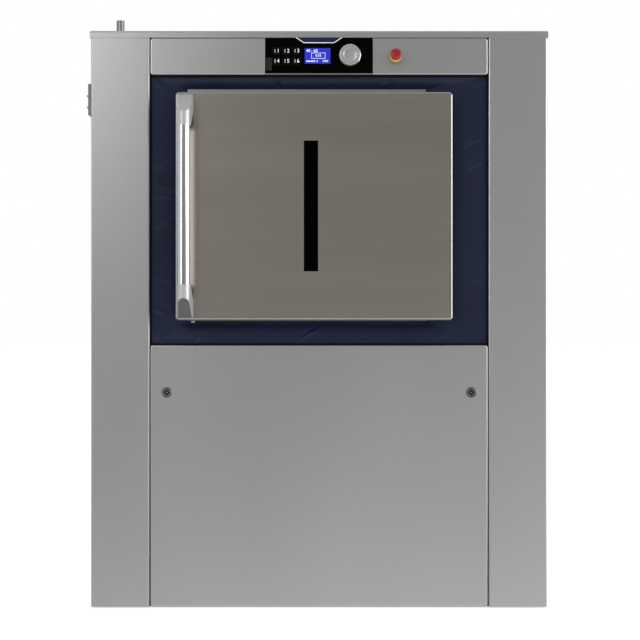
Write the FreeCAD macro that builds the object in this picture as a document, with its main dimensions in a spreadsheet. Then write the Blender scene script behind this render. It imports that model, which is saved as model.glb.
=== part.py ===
"""Barrier washing machine: a pass-through washer with a door on each side of the wall.

Millimetres, +Z up, +X to the right and +Y away from the loading side.
The origin lies on the floor, in the middle of the four anchor holes.
"""
import FreeCAD, Part
import math
import os
import Sketcher
from types import SimpleNamespace
from FreeCAD import Placement, Rotation, Vector

doc = FreeCAD.newDocument("barrier_washer")
sheet = doc.addObject("Spreadsheet::Sheet", "sizes")
pieces = []
close_enough = 0.01

# Driving dimensions

driving_dimensions = {
    # cabinet
    "cabinet_width": 1210,
    "cabinet_depth": 960,
    "panel_top": 1513,
    "panel_bottom": 3,
    "sheet_steel": 2,
    "column_width": 155,
    "column_return": 60,
    "panel_lip": 25,
    "seam_gap": 2,
    "bend_radius": 3,
    "opening_bottom": 697,
    "opening_top": 1415,
    "cap_height": 19,
    "cap_overhang": 3,
    "cap_rim": 8,
    "cap_round": 6,
    "vent_window_margin": 12,
    # base and suspension
    "runner_width": 154,
    "runner_height": 60,
    "runner_wall": 6,
    "runner_inset": 16,
    "anchor_radius": 9,
    "anchor_inset": 28,
    "cross_beam_depth": 70,
    "tower_side": 104,
    "tower_wall": 5,
    "tower_top": 400,
    "cradle_bottom": 600,
    "cradle_height": 70,
    "cradle_web": 8,
    "cradle_web_top": 880,
    "spring_inset": 105,
    "spring_spacing_y": 600,
    "spring_side": 84,
    "bracket_reach": 50,
    "damper_spacing_y": 784,
    "damper_side": 40,
    "damper_wall": 5,
    "damper_top": 470,
    "damper_rod_side": 16,
    "damper_rod_foot": 260,
    # drum and tub
    "drum_axis_x": -33,
    "drum_axis_height": 1065,
    "drum_radius": 375,
    "drum_length": 760,
    "drum_sheet": 3,
    "drum_end_plate": 4,
    "drum_end_gap": 16,
    "drum_mouth_width": 540,
    "drum_mouth_angle": 32,
    "lifter_width": 96,
    "lifter_height": 72,
    "lifter_crown": 26,
    "flap_gap": 1.5,
    "flap_barrel_radius": 7,
    "flap_pin_radius": 4,
    "flap_lug": 13,
    "flap_lug_length": 22,
    "flap_barrel_bite": 0.5,
    "flap_hinge_set": 2,
    "latch_width": 60,
    "latch_plate_height": 24,
    "latch_height": 26,
    "latch_depth": 30,
    "latch_proud": 5,
    "tub_gap": 27,
    "tub_sheet": 3,
    "tub_end_plate": 6,
    "shaft_radius": 45,
    "shaft_plate_gap": 1.2,
    "shaft_end": 12,
    "housing_side": 172,
    "housing_length": 80,
    # drive
    "pulley_radius": 230,
    "pulley_width": 46,
    "pulley_rim": 14,
    "pulley_web": 16,
    "pulley_offset": 9,
    "belt_thickness": 8,
    "belt_width": 40,
    "motor_axis_y": 120,
    "motor_axis_height": 420,
    "motor_side": 200,
    "motor_bevel": 45,
    "motor_length": 320,
    "motor_shield_length": 21,
    "motor_foot_width": 130,
    "motor_foot_height": 125,
    "motor_pulley_radius": 45,
    "motor_shaft_radius": 14,
    # door frame and door
    "frame_width": 634,
    "frame_height": 606,
    "frame_side": 36,
    "frame_rail": 42,
    "frame_crest": 10,
    "frame_thickness": 18,
    "frame_setback": 14,
    "bellows_setback": 16,
    "bellows_sheet": 2,
    "door_width": 728,
    "door_height": 600,
    "door_centre_x": -13,
    "door_bottom": 763,
    "door_depth": 35,
    "door_proud": 45,
    "door_round": 9,
    "door_edge_chamfer": 2.5,
    "slot_width": 37,
    "slot_height": 343,
    "slot_centre_x": -23,
    "slot_bottom": 892,
    "window_thickness": 4,
    "window_lap": 9,
    "liner_flange_inset": 10,
    "liner_hinge_inset": 81,
    "plug_clearance": 5,
    "plug_depth": 60,
    "gasket_width": 24,
    "hinge_inset_x": 14,
    "hinge_inset_y": 33,
    "hinge_height": 44,
    "hinge_spacing": 400,
    "hinge_eye": 16,
    "hinge_knuckle": 18,
    "hinge_pin_radius": 5,
    "hinge_arm": 10,
    "hinge_post": 13,
    "knuckle_height": 24,
    "handle_inset": 26.5,
    "handle_standoff": 52,
    "handle_radius": 16,
    "handle_bar_length": 413,
    "handle_bar_bottom": 856,
    "post_length": 86,
    "post_width": 40,
    "post_foot_length": 45,
    "post_tip_depth": 13,
    "post_shoulder": 24,
    "post_chamfer": 9,
    "stub_width": 11,
    "stub_height": 6,
    "stub_offset": 45.5,
    # controls
    "fascia_width": 286,
    "fascia_height": 95,
    "fascia_proud": 5,
    "fascia_lap": 14,
    "fascia_depth": 46,
    "fascia_chamfer": 1.5,
    "display_width": 68,
    "display_height": 41,
    "display_depth": 3,
    "display_x": -3.8,
    "controls_drop": 49,
    "key_width": 21,
    "key_height": 20,
    "key_pitch_x": 26.5,
    "key_pitch_z": 27,
    "key_middle_x": -87,
    "key_depth": 9,
    "key_pocket": 12,
    "knob_x": 82,
    "knob_radius": 28.5,
    "knob_depth": 22,
    "knob_dish_radius": 17,
    "knob_dish": 3,
    "knob_shaft_radius": 4,
    "knob_shaft_length": 24,
    "stop_x": 203,
    "stop_collar_radius": 15,
    "stop_collar_depth": 8,
    "stop_head_radius": 15,
    "stop_head_depth": 16,
    "stop_stem_side": 12,
    "stop_travel_gap": 14,
    # panel locks, vent and pipes
    "lock_inset": 44,
    "lock_height": 572,
    "lock_radius": 14,
    "lock_head": 3,
    "lock_shank": 14,
    "lock_key": 9,
    "lock_cam_length": 54,
    "lock_cam_width": 16,
    "lock_cam": 4,
    "vent_height": 91,
    "vent_bottom": 1309,
    "vent_depth": 100,
    "vent_setback": 60,
    "vent_proud": 17,
    "vent_rib": 4,
    "vent_rib_proud": 3,
    "vent_toe": 8,
    "inlet_inset": 48,
    "inlet_y": -250,
    "inlet_radius": 11,
    "inlet_top": 1603,
    "inlet_hole_gap": 2,
    "inlet_wall": 2.5,
    "valve_top": 1340,
    "valve_bottom": 1260,
    "valve_width": 64,
    "fill_hose_radius": 15,
    "drain_x": -200,
    "drain_valve_side": 84,
    "drain_valve_bottom": 540,
    "drain_hose_radius": 34,
    "drain_outlet_radius": 37.5,
    "drain_outlet_wall": 4,
    "drain_outlet_height": 130,
    "drain_outlet_proud": 60,
    "drain_spigot_step": 1.5,
    "drain_spigot_setback": 5,
    # clearances
    "running_gap": 0.05,
    "slip_gap": 0.3,
    "key_gap": 0.3,
    "cam_gap": 0.5,
    "tool_overrun": 1,
}


class Size:
    """A number together with the spreadsheet expression that it comes from."""

    def __init__(self, text, value):
        self.text = text
        self.value = value

    def __add__(self, other):
        other = as_size(other)
        return Size(f"({self.text} + {other.text})", self.value + other.value)

    def __sub__(self, other):
        other = as_size(other)
        return Size(f"({self.text} - {other.text})", self.value - other.value)

    def __mul__(self, other):
        other = as_size(other)
        return Size(f"({self.text} * {other.text})", self.value * other.value)

    def __truediv__(self, other):
        other = as_size(other)
        return Size(f"({self.text} / {other.text})", self.value / other.value)

    def __neg__(self):
        return Size(f"(0 - {self.text})", -self.value)

    def __radd__(self, other):
        return as_size(other) + self

    def __rsub__(self, other):
        return as_size(other) - self

    def __rmul__(self, other):
        return as_size(other) * self


def as_size(number):
    if isinstance(number, Size):
        return number
    return Size(f"({number})", number)


def sine(angle):
    return Size(f"sin({angle.text} * 1 deg)", math.sin(math.radians(angle.value)))


def fill_sheet():
    """Write the driving dimensions to the spreadsheet and return them by name."""
    named = {}
    for row, (alias, number) in enumerate(driving_dimensions.items(), start=1):
        sheet.set(f"A{row}", alias)
        sheet.set(f"B{row}", str(number))
        sheet.setAlias(f"B{row}", alias)
        named[alias] = Size(f"sizes.{alias}", number)
    doc.recompute()
    return SimpleNamespace(**named)


size = fill_sheet()

# Building blocks

turns_to_axis = {
    "x": Rotation(Vector(0, 1, 0), 90),
    "-x": Rotation(Vector(0, 1, 0), -90),
    "y": Rotation(Vector(1, 0, 0), -90),
    "-y": Rotation(Vector(1, 0, 0), 90),
    "z": Rotation(),
    "-z": Rotation(Vector(1, 0, 0), 180),
}


def bind(thing, prop, value):
    thing.setExpression(prop, as_size(value).text)


def bind_base(thing, x, y, z):
    for axis, value in zip("xyz", (x, y, z)):
        bind(thing, f"Placement.Base.{axis}", value)


def keep(thing):
    """Mark a finished sub-part for export."""
    pieces.append(thing)
    return thing


def box(name, x, y, z):
    """A block given by its low and high ends along each axis."""
    block = doc.addObject("Part::Box", name)
    for prop, (low, high) in zip(("Length", "Width", "Height"), (x, y, z)):
        bind(block, prop, as_size(high) - low)
    bind_base(block, x[0], y[0], z[0])
    return block


def rod(name, axis, radius, start, length):
    """A cylinder that runs from start along an axis."""
    cylinder = doc.addObject("Part::Cylinder", name)
    cylinder.Placement = Placement(Vector(), turns_to_axis[axis])
    bind(cylinder, "Radius", radius)
    bind(cylinder, "Height", length)
    bind_base(cylinder, *start)
    return cylinder


def fuse(name, *shapes):
    joined = doc.addObject("Part::MultiFuse", name)
    joined.Shapes = list(shapes)
    joined.Refine = True
    return joined


def cut(name, base, *tools):
    result = doc.addObject("Part::Cut", name)
    result.Base = base
    result.Tool = tools[0] if len(tools) == 1 else fuse(f"{name}_tools", *tools)
    result.Refine = True
    return result


def common(name, first, second):
    result = doc.addObject("Part::Common", name)
    result.Base = first
    result.Tool = second
    return result


def group(name, *shapes):
    """Separate solids that share one node."""
    compound = doc.addObject("Part::Compound", name)
    compound.Links = list(shapes)
    return compound


def mirrored_copy(name, source):
    """The same piece on the clean side of the machine."""
    mirror = doc.addObject("Part::Mirroring", name)
    mirror.Source = source
    mirror.Base = Vector(0, 0, 0)
    mirror.Normal = Vector(0, 1, 0)
    return mirror


def new_body(name):
    return doc.addObject("PartDesign::Body", name)


def new_sketch(body, plane, offset):
    sketch = body.newObject("Sketcher::SketchObject", f"{body.Name}_sketch")
    support = next(item for item in body.Origin.OriginFeatures if item.Role == plane)
    sketch.AttachmentSupport = [(support, "")]
    sketch.MapMode = "FlatFace"
    bind(sketch, "AttachmentOffset.Base.z", offset)
    return sketch


def constrain(sketch, value, *constraint):
    """Add a dimension to the sketch and tie it to its expression."""
    value = as_size(value)
    index = sketch.addConstraint(Sketcher.Constraint(*constraint, value.value))
    sketch.setExpression(f"Constraints[{index}]", value.text)


def outline(body, plane, points, offset=0):
    """A closed outline of straight edges, each corner placed from the origin."""
    sketch = new_sketch(body, plane, offset)
    places = [Vector(as_size(u).value, as_size(v).value, 0) for u, v in points]
    count = len(points)
    for index in range(count):
        sketch.addGeometry(Part.LineSegment(places[index], places[(index + 1) % count]))
    for index in range(count):
        sketch.addConstraint(Sketcher.Constraint("Coincident", index, 2, (index + 1) % count, 1))
    for index, (u, v) in enumerate(points):
        constrain(sketch, u, "DistanceX", -1, 1, index, 1)
        constrain(sketch, v, "DistanceY", -1, 1, index, 1)
    return sketch


def rectangle(body, plane, u, v, offset=0):
    return outline(body, plane, [(u[0], v[0]), (u[1], v[0]), (u[1], v[1]), (u[0], v[1])], offset)


def rounded_rectangle(body, plane, u, v, radius, offset=0):
    """A rectangle with its four corners drawn as equal tangent arcs."""
    sketch = new_sketch(body, plane, offset)
    low_u, high_u = (as_size(end).value for end in u)
    low_v, high_v = (as_size(end).value for end in v)
    curve = as_size(radius).value
    runs = [
        ((low_u + curve, low_v), (high_u - curve, low_v)),
        ((high_u, low_v + curve), (high_u, high_v - curve)),
        ((high_u - curve, high_v), (low_u + curve, high_v)),
        ((low_u, high_v - curve), (low_u, low_v + curve)),
    ]
    centres = [
        (high_u - curve, low_v + curve),
        (high_u - curve, high_v - curve),
        (low_u + curve, high_v - curve),
        (low_u + curve, low_v + curve),
    ]
    for start, end in runs:
        sketch.addGeometry(Part.LineSegment(Vector(*start, 0), Vector(*end, 0)))
    for index, centre in enumerate(centres):
        circle_here = Part.Circle(Vector(*centre, 0), Vector(0, 0, 1), curve)
        start_angle = math.radians(90 * index - 90)
        sketch.addGeometry(Part.ArcOfCircle(circle_here, start_angle, start_angle + math.pi / 2))
    for index in range(4):
        arc = 4 + index
        sketch.addConstraint(Sketcher.Constraint("Tangent", index, 2, arc, 1))
        sketch.addConstraint(Sketcher.Constraint("Tangent", arc, 2, (index + 1) % 4, 1))
    for index in range(3):
        sketch.addConstraint(Sketcher.Constraint("Equal", 4, 5 + index))
    for index in (0, 2):
        sketch.addConstraint(Sketcher.Constraint("Horizontal", index))
    for index in (1, 3):
        sketch.addConstraint(Sketcher.Constraint("Vertical", index))
    constrain(sketch, radius, "Radius", 4)
    constrain(sketch, v[0], "DistanceY", -1, 1, 0, 1)
    constrain(sketch, u[1], "DistanceX", -1, 1, 1, 1)
    constrain(sketch, v[1], "DistanceY", -1, 1, 2, 1)
    constrain(sketch, u[0], "DistanceX", -1, 1, 3, 1)
    return sketch


def circle(body, plane, u, v, radius, offset=0):
    sketch = new_sketch(body, plane, offset)
    centre = Vector(as_size(u).value, as_size(v).value, 0)
    sketch.addGeometry(Part.Circle(centre, Vector(0, 0, 1), as_size(radius).value))
    constrain(sketch, radius, "Radius", 0)
    constrain(sketch, u, "DistanceX", -1, 1, 0, 3)
    constrain(sketch, v, "DistanceY", -1, 1, 0, 3)
    return sketch


def pad(body, sketch, length, midplane=False, backwards=False):
    feature = body.newObject("PartDesign::Pad", f"{body.Name}_pad")
    feature.Profile = sketch
    feature.Midplane = midplane
    feature.Reversed = backwards
    bind(feature, "Length", length)
    return feature


def pocket(body, sketch, depth, backwards=False):
    """Cut a sketch into the body and make sure that it took material away."""
    doc.recompute()
    before = body.Shape.Volume
    feature = body.newObject("PartDesign::Pocket", f"{body.Name}_pocket")
    feature.Profile = sketch
    feature.Reversed = backwards
    bind(feature, "Length", depth)
    doc.recompute()
    if body.Shape.Volume > before - 1:
        raise RuntimeError(f"{feature.Label} cuts nothing")
    return feature


def revolve(body, sketch):
    """Turn a sketch about its upright axis."""
    feature = body.newObject("PartDesign::Revolution", f"{body.Name}_turn")
    feature.Profile = sketch
    feature.ReferenceAxis = (sketch, ["V_Axis"])
    feature.Angle = 360
    return feature


def dress(body, kind, prop, amount, chosen):
    """Round or chamfer the edges of the body that the test picks out."""
    doc.recompute()
    base = body.Tip
    names = [f"Edge{n}" for n, edge in enumerate(base.Shape.Edges, start=1) if chosen(edge)]
    if not names:
        raise RuntimeError(f"{body.Label} has no such edges")
    feature = body.newObject(f"PartDesign::{kind}", f"{body.Name}_{kind.lower()}")
    feature.Base = (base, names)
    bind(feature, prop, amount)
    return feature


def round_edges(body, radius, chosen):
    return dress(body, "Fillet", "Radius", radius, chosen)


def chamfer_edges(body, amount, chosen):
    return dress(body, "Chamfer", "Size", amount, chosen)


def lies_at(edge, **places):
    """True if the whole edge lies on the given planes, such as y=-480."""
    bounds = edge.BoundBox
    for axis, place in places.items():
        place = as_size(place).value
        low = getattr(bounds, f"{axis.upper()}Min")
        high = getattr(bounds, f"{axis.upper()}Max")
        if abs(low - place) > close_enough or abs(high - place) > close_enough:
            return False
    return True


def turned_piece(name, profile, axis, place):
    """A lathe-turned piece: (radius, height) points about an axis through a place."""
    body = new_body(name)
    revolve(body, outline(body, "XZ_Plane", profile))
    body.Placement = Placement(Vector(), turns_to_axis[axis])
    bind_base(body, *place)
    return body


def spread(middle, length):
    """The two ends of a length laid about its middle."""
    return middle - length / 2, middle + length / 2


def ordered(*places):
    """The places from the lowest to the highest."""
    return tuple(sorted(places, key=lambda place: as_size(place).value))


# Places shared by several pieces

half_width = size.cabinet_width / 2
half_depth = size.cabinet_depth / 2
front = -half_depth
panel_half = half_width - size.column_width - size.seam_gap
mouth_half = half_width - size.column_width
lock_offset = panel_half - size.lock_inset
inlet_x = size.inlet_inset - half_width
controls_height = size.panel_top - size.controls_drop

axis_x = size.drum_axis_x
axis_z = size.drum_axis_height
drum_half = size.drum_length / 2
drum_inner = size.drum_radius - size.drum_sheet
tub_half = drum_half + size.drum_end_plate + size.drum_end_gap
tub_inner = size.drum_radius + size.tub_gap
tub_outer = tub_inner + size.tub_sheet
tub_left = axis_x - tub_half - size.tub_end_plate
tub_right = axis_x + tub_half + size.tub_end_plate

frame_front = front + size.frame_setback
frame_back = frame_front + size.frame_thickness
throat_width = size.frame_width - 2 * size.frame_side
throat_height = size.frame_height - 2 * size.frame_rail
frame_left = axis_x - size.frame_width / 2
frame_right = axis_x + size.frame_width / 2
frame_low = axis_z - size.frame_height / 2
frame_high = axis_z + size.frame_height / 2 + size.frame_crest

door_front = front - size.door_proud
door_back = door_front + size.door_depth
door_left = size.door_centre_x - size.door_width / 2
door_right = size.door_centre_x + size.door_width / 2
door_top = size.door_bottom + size.door_height
hinge_x = door_right - size.hinge_inset_x
hinge_y = door_front + size.hinge_inset_y
hinge_middle = size.door_bottom + size.door_height / 2
hinge_heights = (hinge_middle - size.hinge_spacing / 2, hinge_middle + size.hinge_spacing / 2)

spring_x = half_width - size.spring_inset
spring_y = size.spring_spacing_y / 2
damper_y = size.damper_spacing_y / 2
cradle_top = size.cradle_bottom + size.cradle_height
pulley_x = tub_right + size.housing_length + size.pulley_offset

# Base


def runner(name, side):
    """Folded channel under one side, open to the inside, with two anchor holes."""
    outer = side * (half_width - size.runner_inset)
    inner = side * (half_width - size.runner_inset - size.runner_width)
    wall = side * size.runner_wall
    top = size.runner_height
    body = new_body(name)
    section = [
        (outer, 0), (inner, 0), (inner, size.runner_wall), (outer - wall, size.runner_wall),
        (outer - wall, top - size.runner_wall), (inner, top - size.runner_wall),
        (inner, top), (outer, top),
    ]
    length = size.cabinet_depth - 2 * size.panel_lip
    pad(body, outline(body, "XZ_Plane", section), length, midplane=True)
    for end in (-1, 1):
        hole_y = end * (length / 2 - size.anchor_inset)
        hole = circle(body, "XY_Plane", (outer + inner) / 2, hole_y, size.anchor_radius, size.runner_wall)
        pocket(body, hole, size.runner_wall)
    return body


def cross_beam(name, end):
    """Beam across the base, between the inner edges of the two runners."""
    reach = half_width - size.runner_inset - size.runner_width
    place = end * spring_y
    return box(
        name, (-reach, reach),
        (place - size.cross_beam_depth / 2, place + size.cross_beam_depth / 2),
        (size.panel_bottom, size.runner_height),
    )


def corner_places():
    return [(side, end) for side in (-1, 1) for end in (-1, 1)]


def spring_tower(side, end):
    """Box-section stand on a runner, closed by the plate that the spring sits on."""
    x, y = side * spring_x, end * spring_y
    half = size.tower_side / 2
    bore = half - size.tower_wall
    outside = box(
        "tower_outside", (x - half, x + half), (y - half, y + half), (size.runner_height, size.tower_top),
    )
    inside = box(
        "tower_inside", (x - bore, x + bore), (y - bore, y + bore),
        (size.runner_height, size.tower_top - size.tower_wall),
    )
    return cut("spring_tower", outside, inside)


def make_base():
    solids = [runner("left_runner", -1), runner("right_runner", 1)]
    solids += [cross_beam("front_beam", -1), cross_beam("rear_beam", 1)]
    solids += [spring_tower(side, end) for side, end in corner_places()]
    keep(group("base_frame", *solids))


# Cabinet


def column(name, side):
    """Folded corner column: front face, return along the side, and an inner lip."""
    outer = side * half_width
    inner = side * mouth_half
    skin = side * size.sheet_steel
    section = [
        (outer, front), (inner, front), (inner, front + size.panel_lip),
        (inner + skin, front + size.panel_lip), (inner + skin, front + size.sheet_steel),
        (outer - skin, front + size.sheet_steel), (outer - skin, front + size.column_return),
        (outer, front + size.column_return),
    ]
    body = new_body(name)
    pad(body, outline(body, "XY_Plane", section, size.panel_bottom), size.panel_top - size.panel_bottom)
    for bend in (outer, inner):
        round_edges(body, size.bend_radius, lambda edge: lies_at(edge, y=front, x=bend))
    return body


def make_columns():
    front_pair = [column("front_left_column", -1), column("front_right_column", 1)]
    rear_pair = [mirrored_copy(f"rear_{number}_column", item) for number, item in enumerate(front_pair)]
    keep(group("corner_columns", *front_pair, *rear_pair))


def make_side_panels():
    reach = half_depth - size.column_return - size.seam_gap
    along = (-reach, reach)
    up = (size.panel_bottom, size.panel_top)
    left = box("left_side_sheet", (-half_width, size.sheet_steel - half_width), along, up)
    right = box("right_side_sheet", (half_width - size.sheet_steel, half_width), along, up)
    margin = size.vent_window_margin
    vent_front = front + size.vent_setback
    window = box(
        "vent_window",
        (-half_width - size.tool_overrun, size.sheet_steel + size.tool_overrun - half_width),
        (vent_front + margin, vent_front + size.vent_depth - margin),
        (size.vent_bottom + margin, size.vent_bottom + size.vent_height - margin),
    )
    keep(group("side_panels", cut("vented_side_sheet", left, window), right))


def make_vent():
    """Ribbed cowl on the left side: three tiers with a rib under each joint, and a slanted toe."""
    body = new_body("side_vent")
    wall = -half_width
    face = wall - size.vent_proud
    edge = face - size.vent_rib_proud
    tier = size.vent_height / 3
    top = size.vent_bottom + size.vent_height
    profile = [(wall, top), (face, top)]
    for joint in (1, 2):
        level = top - joint * tier
        under = level - size.vent_rib
        profile += [(face, level), (edge, level), (edge, under), (face, under)]
    profile += [(face, size.vent_bottom + size.vent_toe), (wall, size.vent_bottom)]
    sketch = outline(body, "XZ_Plane", profile, half_depth - size.vent_setback)
    pad(body, sketch, size.vent_depth, backwards=True)
    keep(body)


def make_cap():
    """Lid with a rounded top edge, hollow underneath, with a hole for the inlet pipe."""
    body = new_body("top_cap")
    reach_x = half_width + size.cap_overhang
    reach_y = half_depth + size.cap_overhang
    plan = rectangle(body, "XY_Plane", (-reach_x, reach_x), (-reach_y, reach_y), size.panel_top)
    pad(body, plan, size.cap_height)
    top = size.panel_top + size.cap_height
    round_edges(body, size.cap_round, lambda edge: lies_at(edge, z=top))
    hollow_x = reach_x - size.cap_rim
    hollow_y = reach_y - size.cap_rim
    hollow = rectangle(body, "XY_Plane", (-hollow_x, hollow_x), (-hollow_y, hollow_y), size.panel_top)
    pocket(body, hollow, size.cap_height - size.sheet_steel, backwards=True)
    hole_radius = size.inlet_radius + size.inlet_hole_gap
    pocket(body, circle(body, "XY_Plane", inlet_x, size.inlet_y, hole_radius, top), size.cap_height)
    keep(body)


def folded_panel(name, low, high):
    """Front panel folded back along its top and bottom edges."""
    body = new_body(name)
    skin = size.sheet_steel
    back = front + size.panel_lip
    section = [
        (front, low), (front, high), (back, high), (back, high - skin),
        (front + skin, high - skin), (front + skin, low + skin), (back, low + skin), (back, low),
    ]
    pad(body, outline(body, "YZ_Plane", section), 2 * panel_half, midplane=True)
    return body


def fascia_ends():
    low = size.panel_top - size.fascia_height
    return (-size.fascia_width / 2, size.fascia_width / 2), (low, size.panel_top)


def make_panels():
    upper = folded_panel("front_upper_panel", size.opening_top, size.panel_top)
    wide, tall = fascia_ends()
    lap = size.fascia_lap
    for u, v in (
        ((wide[0] + lap, wide[1] - lap), (tall[0] + lap, tall[1] - lap)),
        stop_stem_hole(),
    ):
        pocket(upper, rectangle(upper, "XZ_Plane", u, v, half_depth), size.sheet_steel)
    keep(upper)

    lower = folded_panel("front_lower_panel", size.panel_bottom, size.opening_bottom)
    reach = size.lock_shank / math.sqrt(2) + size.slip_gap
    for side in (-1, 1):
        lock_x = side * lock_offset
        hole = circle(lower, "XZ_Plane", lock_x, size.lock_height, reach, half_depth)
        pocket(lower, hole, size.sheet_steel)
    keep(lower)

    half_turn = Placement(Vector(), Rotation(Vector(0, 0, 1), 180))
    rear_upper = folded_panel("rear_upper_panel", size.opening_top, size.panel_top)
    rear_upper.Placement = half_turn
    keep(rear_upper)
    rear_lower = folded_panel("rear_lower_panel", size.panel_bottom, size.opening_bottom)
    reach = size.drain_outlet_radius + size.slip_gap
    hole = circle(rear_lower, "XZ_Plane", -size.drain_x, size.drain_outlet_height, reach, half_depth)
    pocket(rear_lower, hole, size.sheet_steel)
    rear_lower.Placement = half_turn
    keep(rear_lower)


def funnel(name, wide_end, narrow_end):
    """A block that tapers from the cabinet mouth to the outline of the door frame."""
    wedge = doc.addObject("Part::Wedge", name)
    ends = {
        "Ymin": wide_end, "Ymax": narrow_end,
        "Xmin": -mouth_half, "Xmax": mouth_half, "Zmin": size.opening_bottom, "Zmax": size.opening_top,
        "X2min": frame_left, "X2max": frame_right, "Z2min": frame_low, "Z2max": frame_high,
    }
    for prop, place in ends.items():
        bind(wedge, prop, place)
    return wedge


def make_bellows():
    """Rubberised cloth surround: a shallow funnel from the cabinet mouth to the door frame."""
    thin = size.bellows_sheet
    outer_edge = front + size.bellows_setback
    inner_edge = frame_back - thin
    solid = funnel("bellows_solid", outer_edge, inner_edge)
    hollow = funnel("bellows_hollow", outer_edge - thin, inner_edge - thin)
    across = (frame_left, frame_right)
    passage = box("bellows_passage", across, (outer_edge, frame_back), (frame_low, frame_high))
    bellows = keep(cut("front_bellows", solid, hollow, passage))
    keep(mirrored_copy("rear_bellows", bellows))


# Controls


def display_ends():
    return spread(size.display_x, size.display_width), spread(controls_height, size.display_height)


def make_fascia():
    """Moulded control housing: bevelled plate, box behind it, pockets for keys and display."""
    body = new_body("control_fascia")
    wide, tall = fascia_ends()
    lap = size.fascia_lap + size.slip_gap
    plate_front = half_depth + size.fascia_proud
    pad(body, rectangle(body, "XZ_Plane", wide, tall, half_depth), size.fascia_proud)
    chamfer_edges(body, size.fascia_chamfer, lambda edge: lies_at(edge, y=-plate_front))
    inner_wide = (wide[0] + lap, wide[1] - lap)
    inner_tall = (tall[0] + lap, tall[1] - lap)
    rear = rectangle(body, "XZ_Plane", inner_wide, inner_tall, half_depth)
    pad(body, rear, size.fascia_depth, backwards=True)
    pocket(body, rectangle(body, "XZ_Plane", *display_ends(), plate_front), size.display_depth)
    room = 2 * size.key_gap
    for x, z in key_places():
        across = spread(x, size.key_width + room)
        upright = spread(z, size.key_height + room)
        pocket(body, rectangle(body, "XZ_Plane", across, upright, plate_front), size.key_pocket)
    bearing = size.knob_shaft_radius + size.running_gap
    bore = circle(body, "XZ_Plane", size.knob_x, controls_height, bearing, plate_front)
    pocket(body, bore, size.fascia_depth)
    keep(body)


def key_places():
    """The six keys stand in two rows of three."""
    rows = (controls_height + size.key_pitch_z / 2, controls_height - size.key_pitch_z / 2)
    return [(size.key_middle_x + place * size.key_pitch_x, z) for z in rows for place in (-1, 0, 1)]


def make_display():
    across, upright = display_ends()
    face = front - size.fascia_proud
    keep(box("display_window", across, (face, face + size.display_depth), upright))


def make_keys():
    plate_front = half_depth + size.fascia_proud
    for number, (x, z) in enumerate(key_places(), start=1):
        body = new_body(f"program_key_{number}")
        across = spread(x, size.key_width)
        upright = spread(z, size.key_height)
        pad(body, rectangle(body, "XZ_Plane", across, upright, plate_front), size.key_depth, backwards=True)
        keep(body)


def make_knob():
    """Turned jog knob with a dished face, on its own shaft."""
    shaft = size.knob_shaft_radius
    top = size.knob_depth
    profile = [
        (0, -size.knob_shaft_length), (shaft, -size.knob_shaft_length), (shaft, size.slip_gap),
        (size.knob_radius, size.slip_gap), (size.knob_radius, top), (size.knob_dish_radius, top),
        (size.knob_dish_radius, top - size.knob_dish), (0, top - size.knob_dish),
    ]
    place = (size.knob_x, front - size.fascia_proud, controls_height)
    keep(turned_piece("jog_knob", profile, "-y", place))


def stop_stem_hole():
    """The square passage in which the stem of the emergency stop slides."""
    side = size.stop_stem_side + 2 * size.slip_gap
    return spread(size.stop_x, side), spread(controls_height, side)


def make_stop():
    """Emergency stop: a collar on the panel, and the mushroom that pushes through it."""
    across, upright = stop_stem_hole()
    collar_front = front - size.stop_collar_depth
    centre = (size.stop_x, collar_front, controls_height)
    ring = rod("collar_ring", "y", size.stop_collar_radius, centre, size.stop_collar_depth)
    passage = box("collar_passage", across, (collar_front, front), upright)
    keep(cut("stop_collar", ring, passage))

    under = collar_front - size.stop_travel_gap
    centre = (size.stop_x, under - size.stop_head_depth, controls_height)
    mushroom = rod("mushroom", "y", size.stop_head_radius, centre, size.stop_head_depth)
    stem = box(
        "mushroom_stem", spread(size.stop_x, size.stop_stem_side), (under, front + size.panel_lip),
        spread(controls_height, size.stop_stem_side),
    )
    keep(fuse("stop_head", mushroom, stem))


# Panel locks


def make_locks():
    """Quarter-turn locks: head with a square key recess, square shank, and a cam behind the column lip."""
    face = front - size.lock_head
    cam_front = front + size.panel_lip + size.cam_gap
    cam_depth = (cam_front, cam_front + size.lock_cam)
    z = size.lock_height
    for name, side in (("panel_lock_left", -1), ("panel_lock_right", 1)):
        x = side * lock_offset
        head = rod(f"{name}_head", "y", size.lock_radius, (x, face, z), size.lock_head)
        shank_ends = (front, cam_depth[1])
        shank = box(f"{name}_shank", spread(x, size.lock_shank), shank_ends, spread(z, size.lock_shank))
        cam_ends = ordered(x + side * size.lock_cam_length, x - side * size.lock_cam_width / 2)
        cam = box(f"{name}_cam", cam_ends, cam_depth, spread(z, size.lock_cam_width))
        recess_ends = (face, front + size.lock_head)
        recess = box(f"{name}_recess", spread(x, size.lock_key), recess_ends, spread(z, size.lock_key))
        keep(cut(name, fuse(f"{name}_blank", head, shank, cam), recess))


# Water and drain


def make_water():
    """Inlet pipe through the cap, the inlet valve on the left side panel, and its hose to the tub."""
    foot = (inlet_x, size.inlet_y, size.valve_top)
    length = size.inlet_top - size.valve_top
    pipe = rod("inlet_pipe", "z", size.inlet_radius, foot, length)
    bore = rod("inlet_bore", "z", size.inlet_radius - size.inlet_wall, foot, length)
    valve_right = inlet_x + size.valve_width / 2
    valve = box(
        "valve_block", (size.sheet_steel - half_width, valve_right),
        spread(size.inlet_y, size.valve_width), (size.valve_bottom, size.valve_top),
    )
    keep(cut("water_inlet", fuse("water_inlet_blank", pipe, valve), bore))

    start = (valve_right, size.inlet_y, (size.valve_bottom + size.valve_top) / 2)
    length = tub_left - size.slip_gap - valve_right
    keep(rod("fill_hose", "x", size.fill_hose_radius, start, length))


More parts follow.
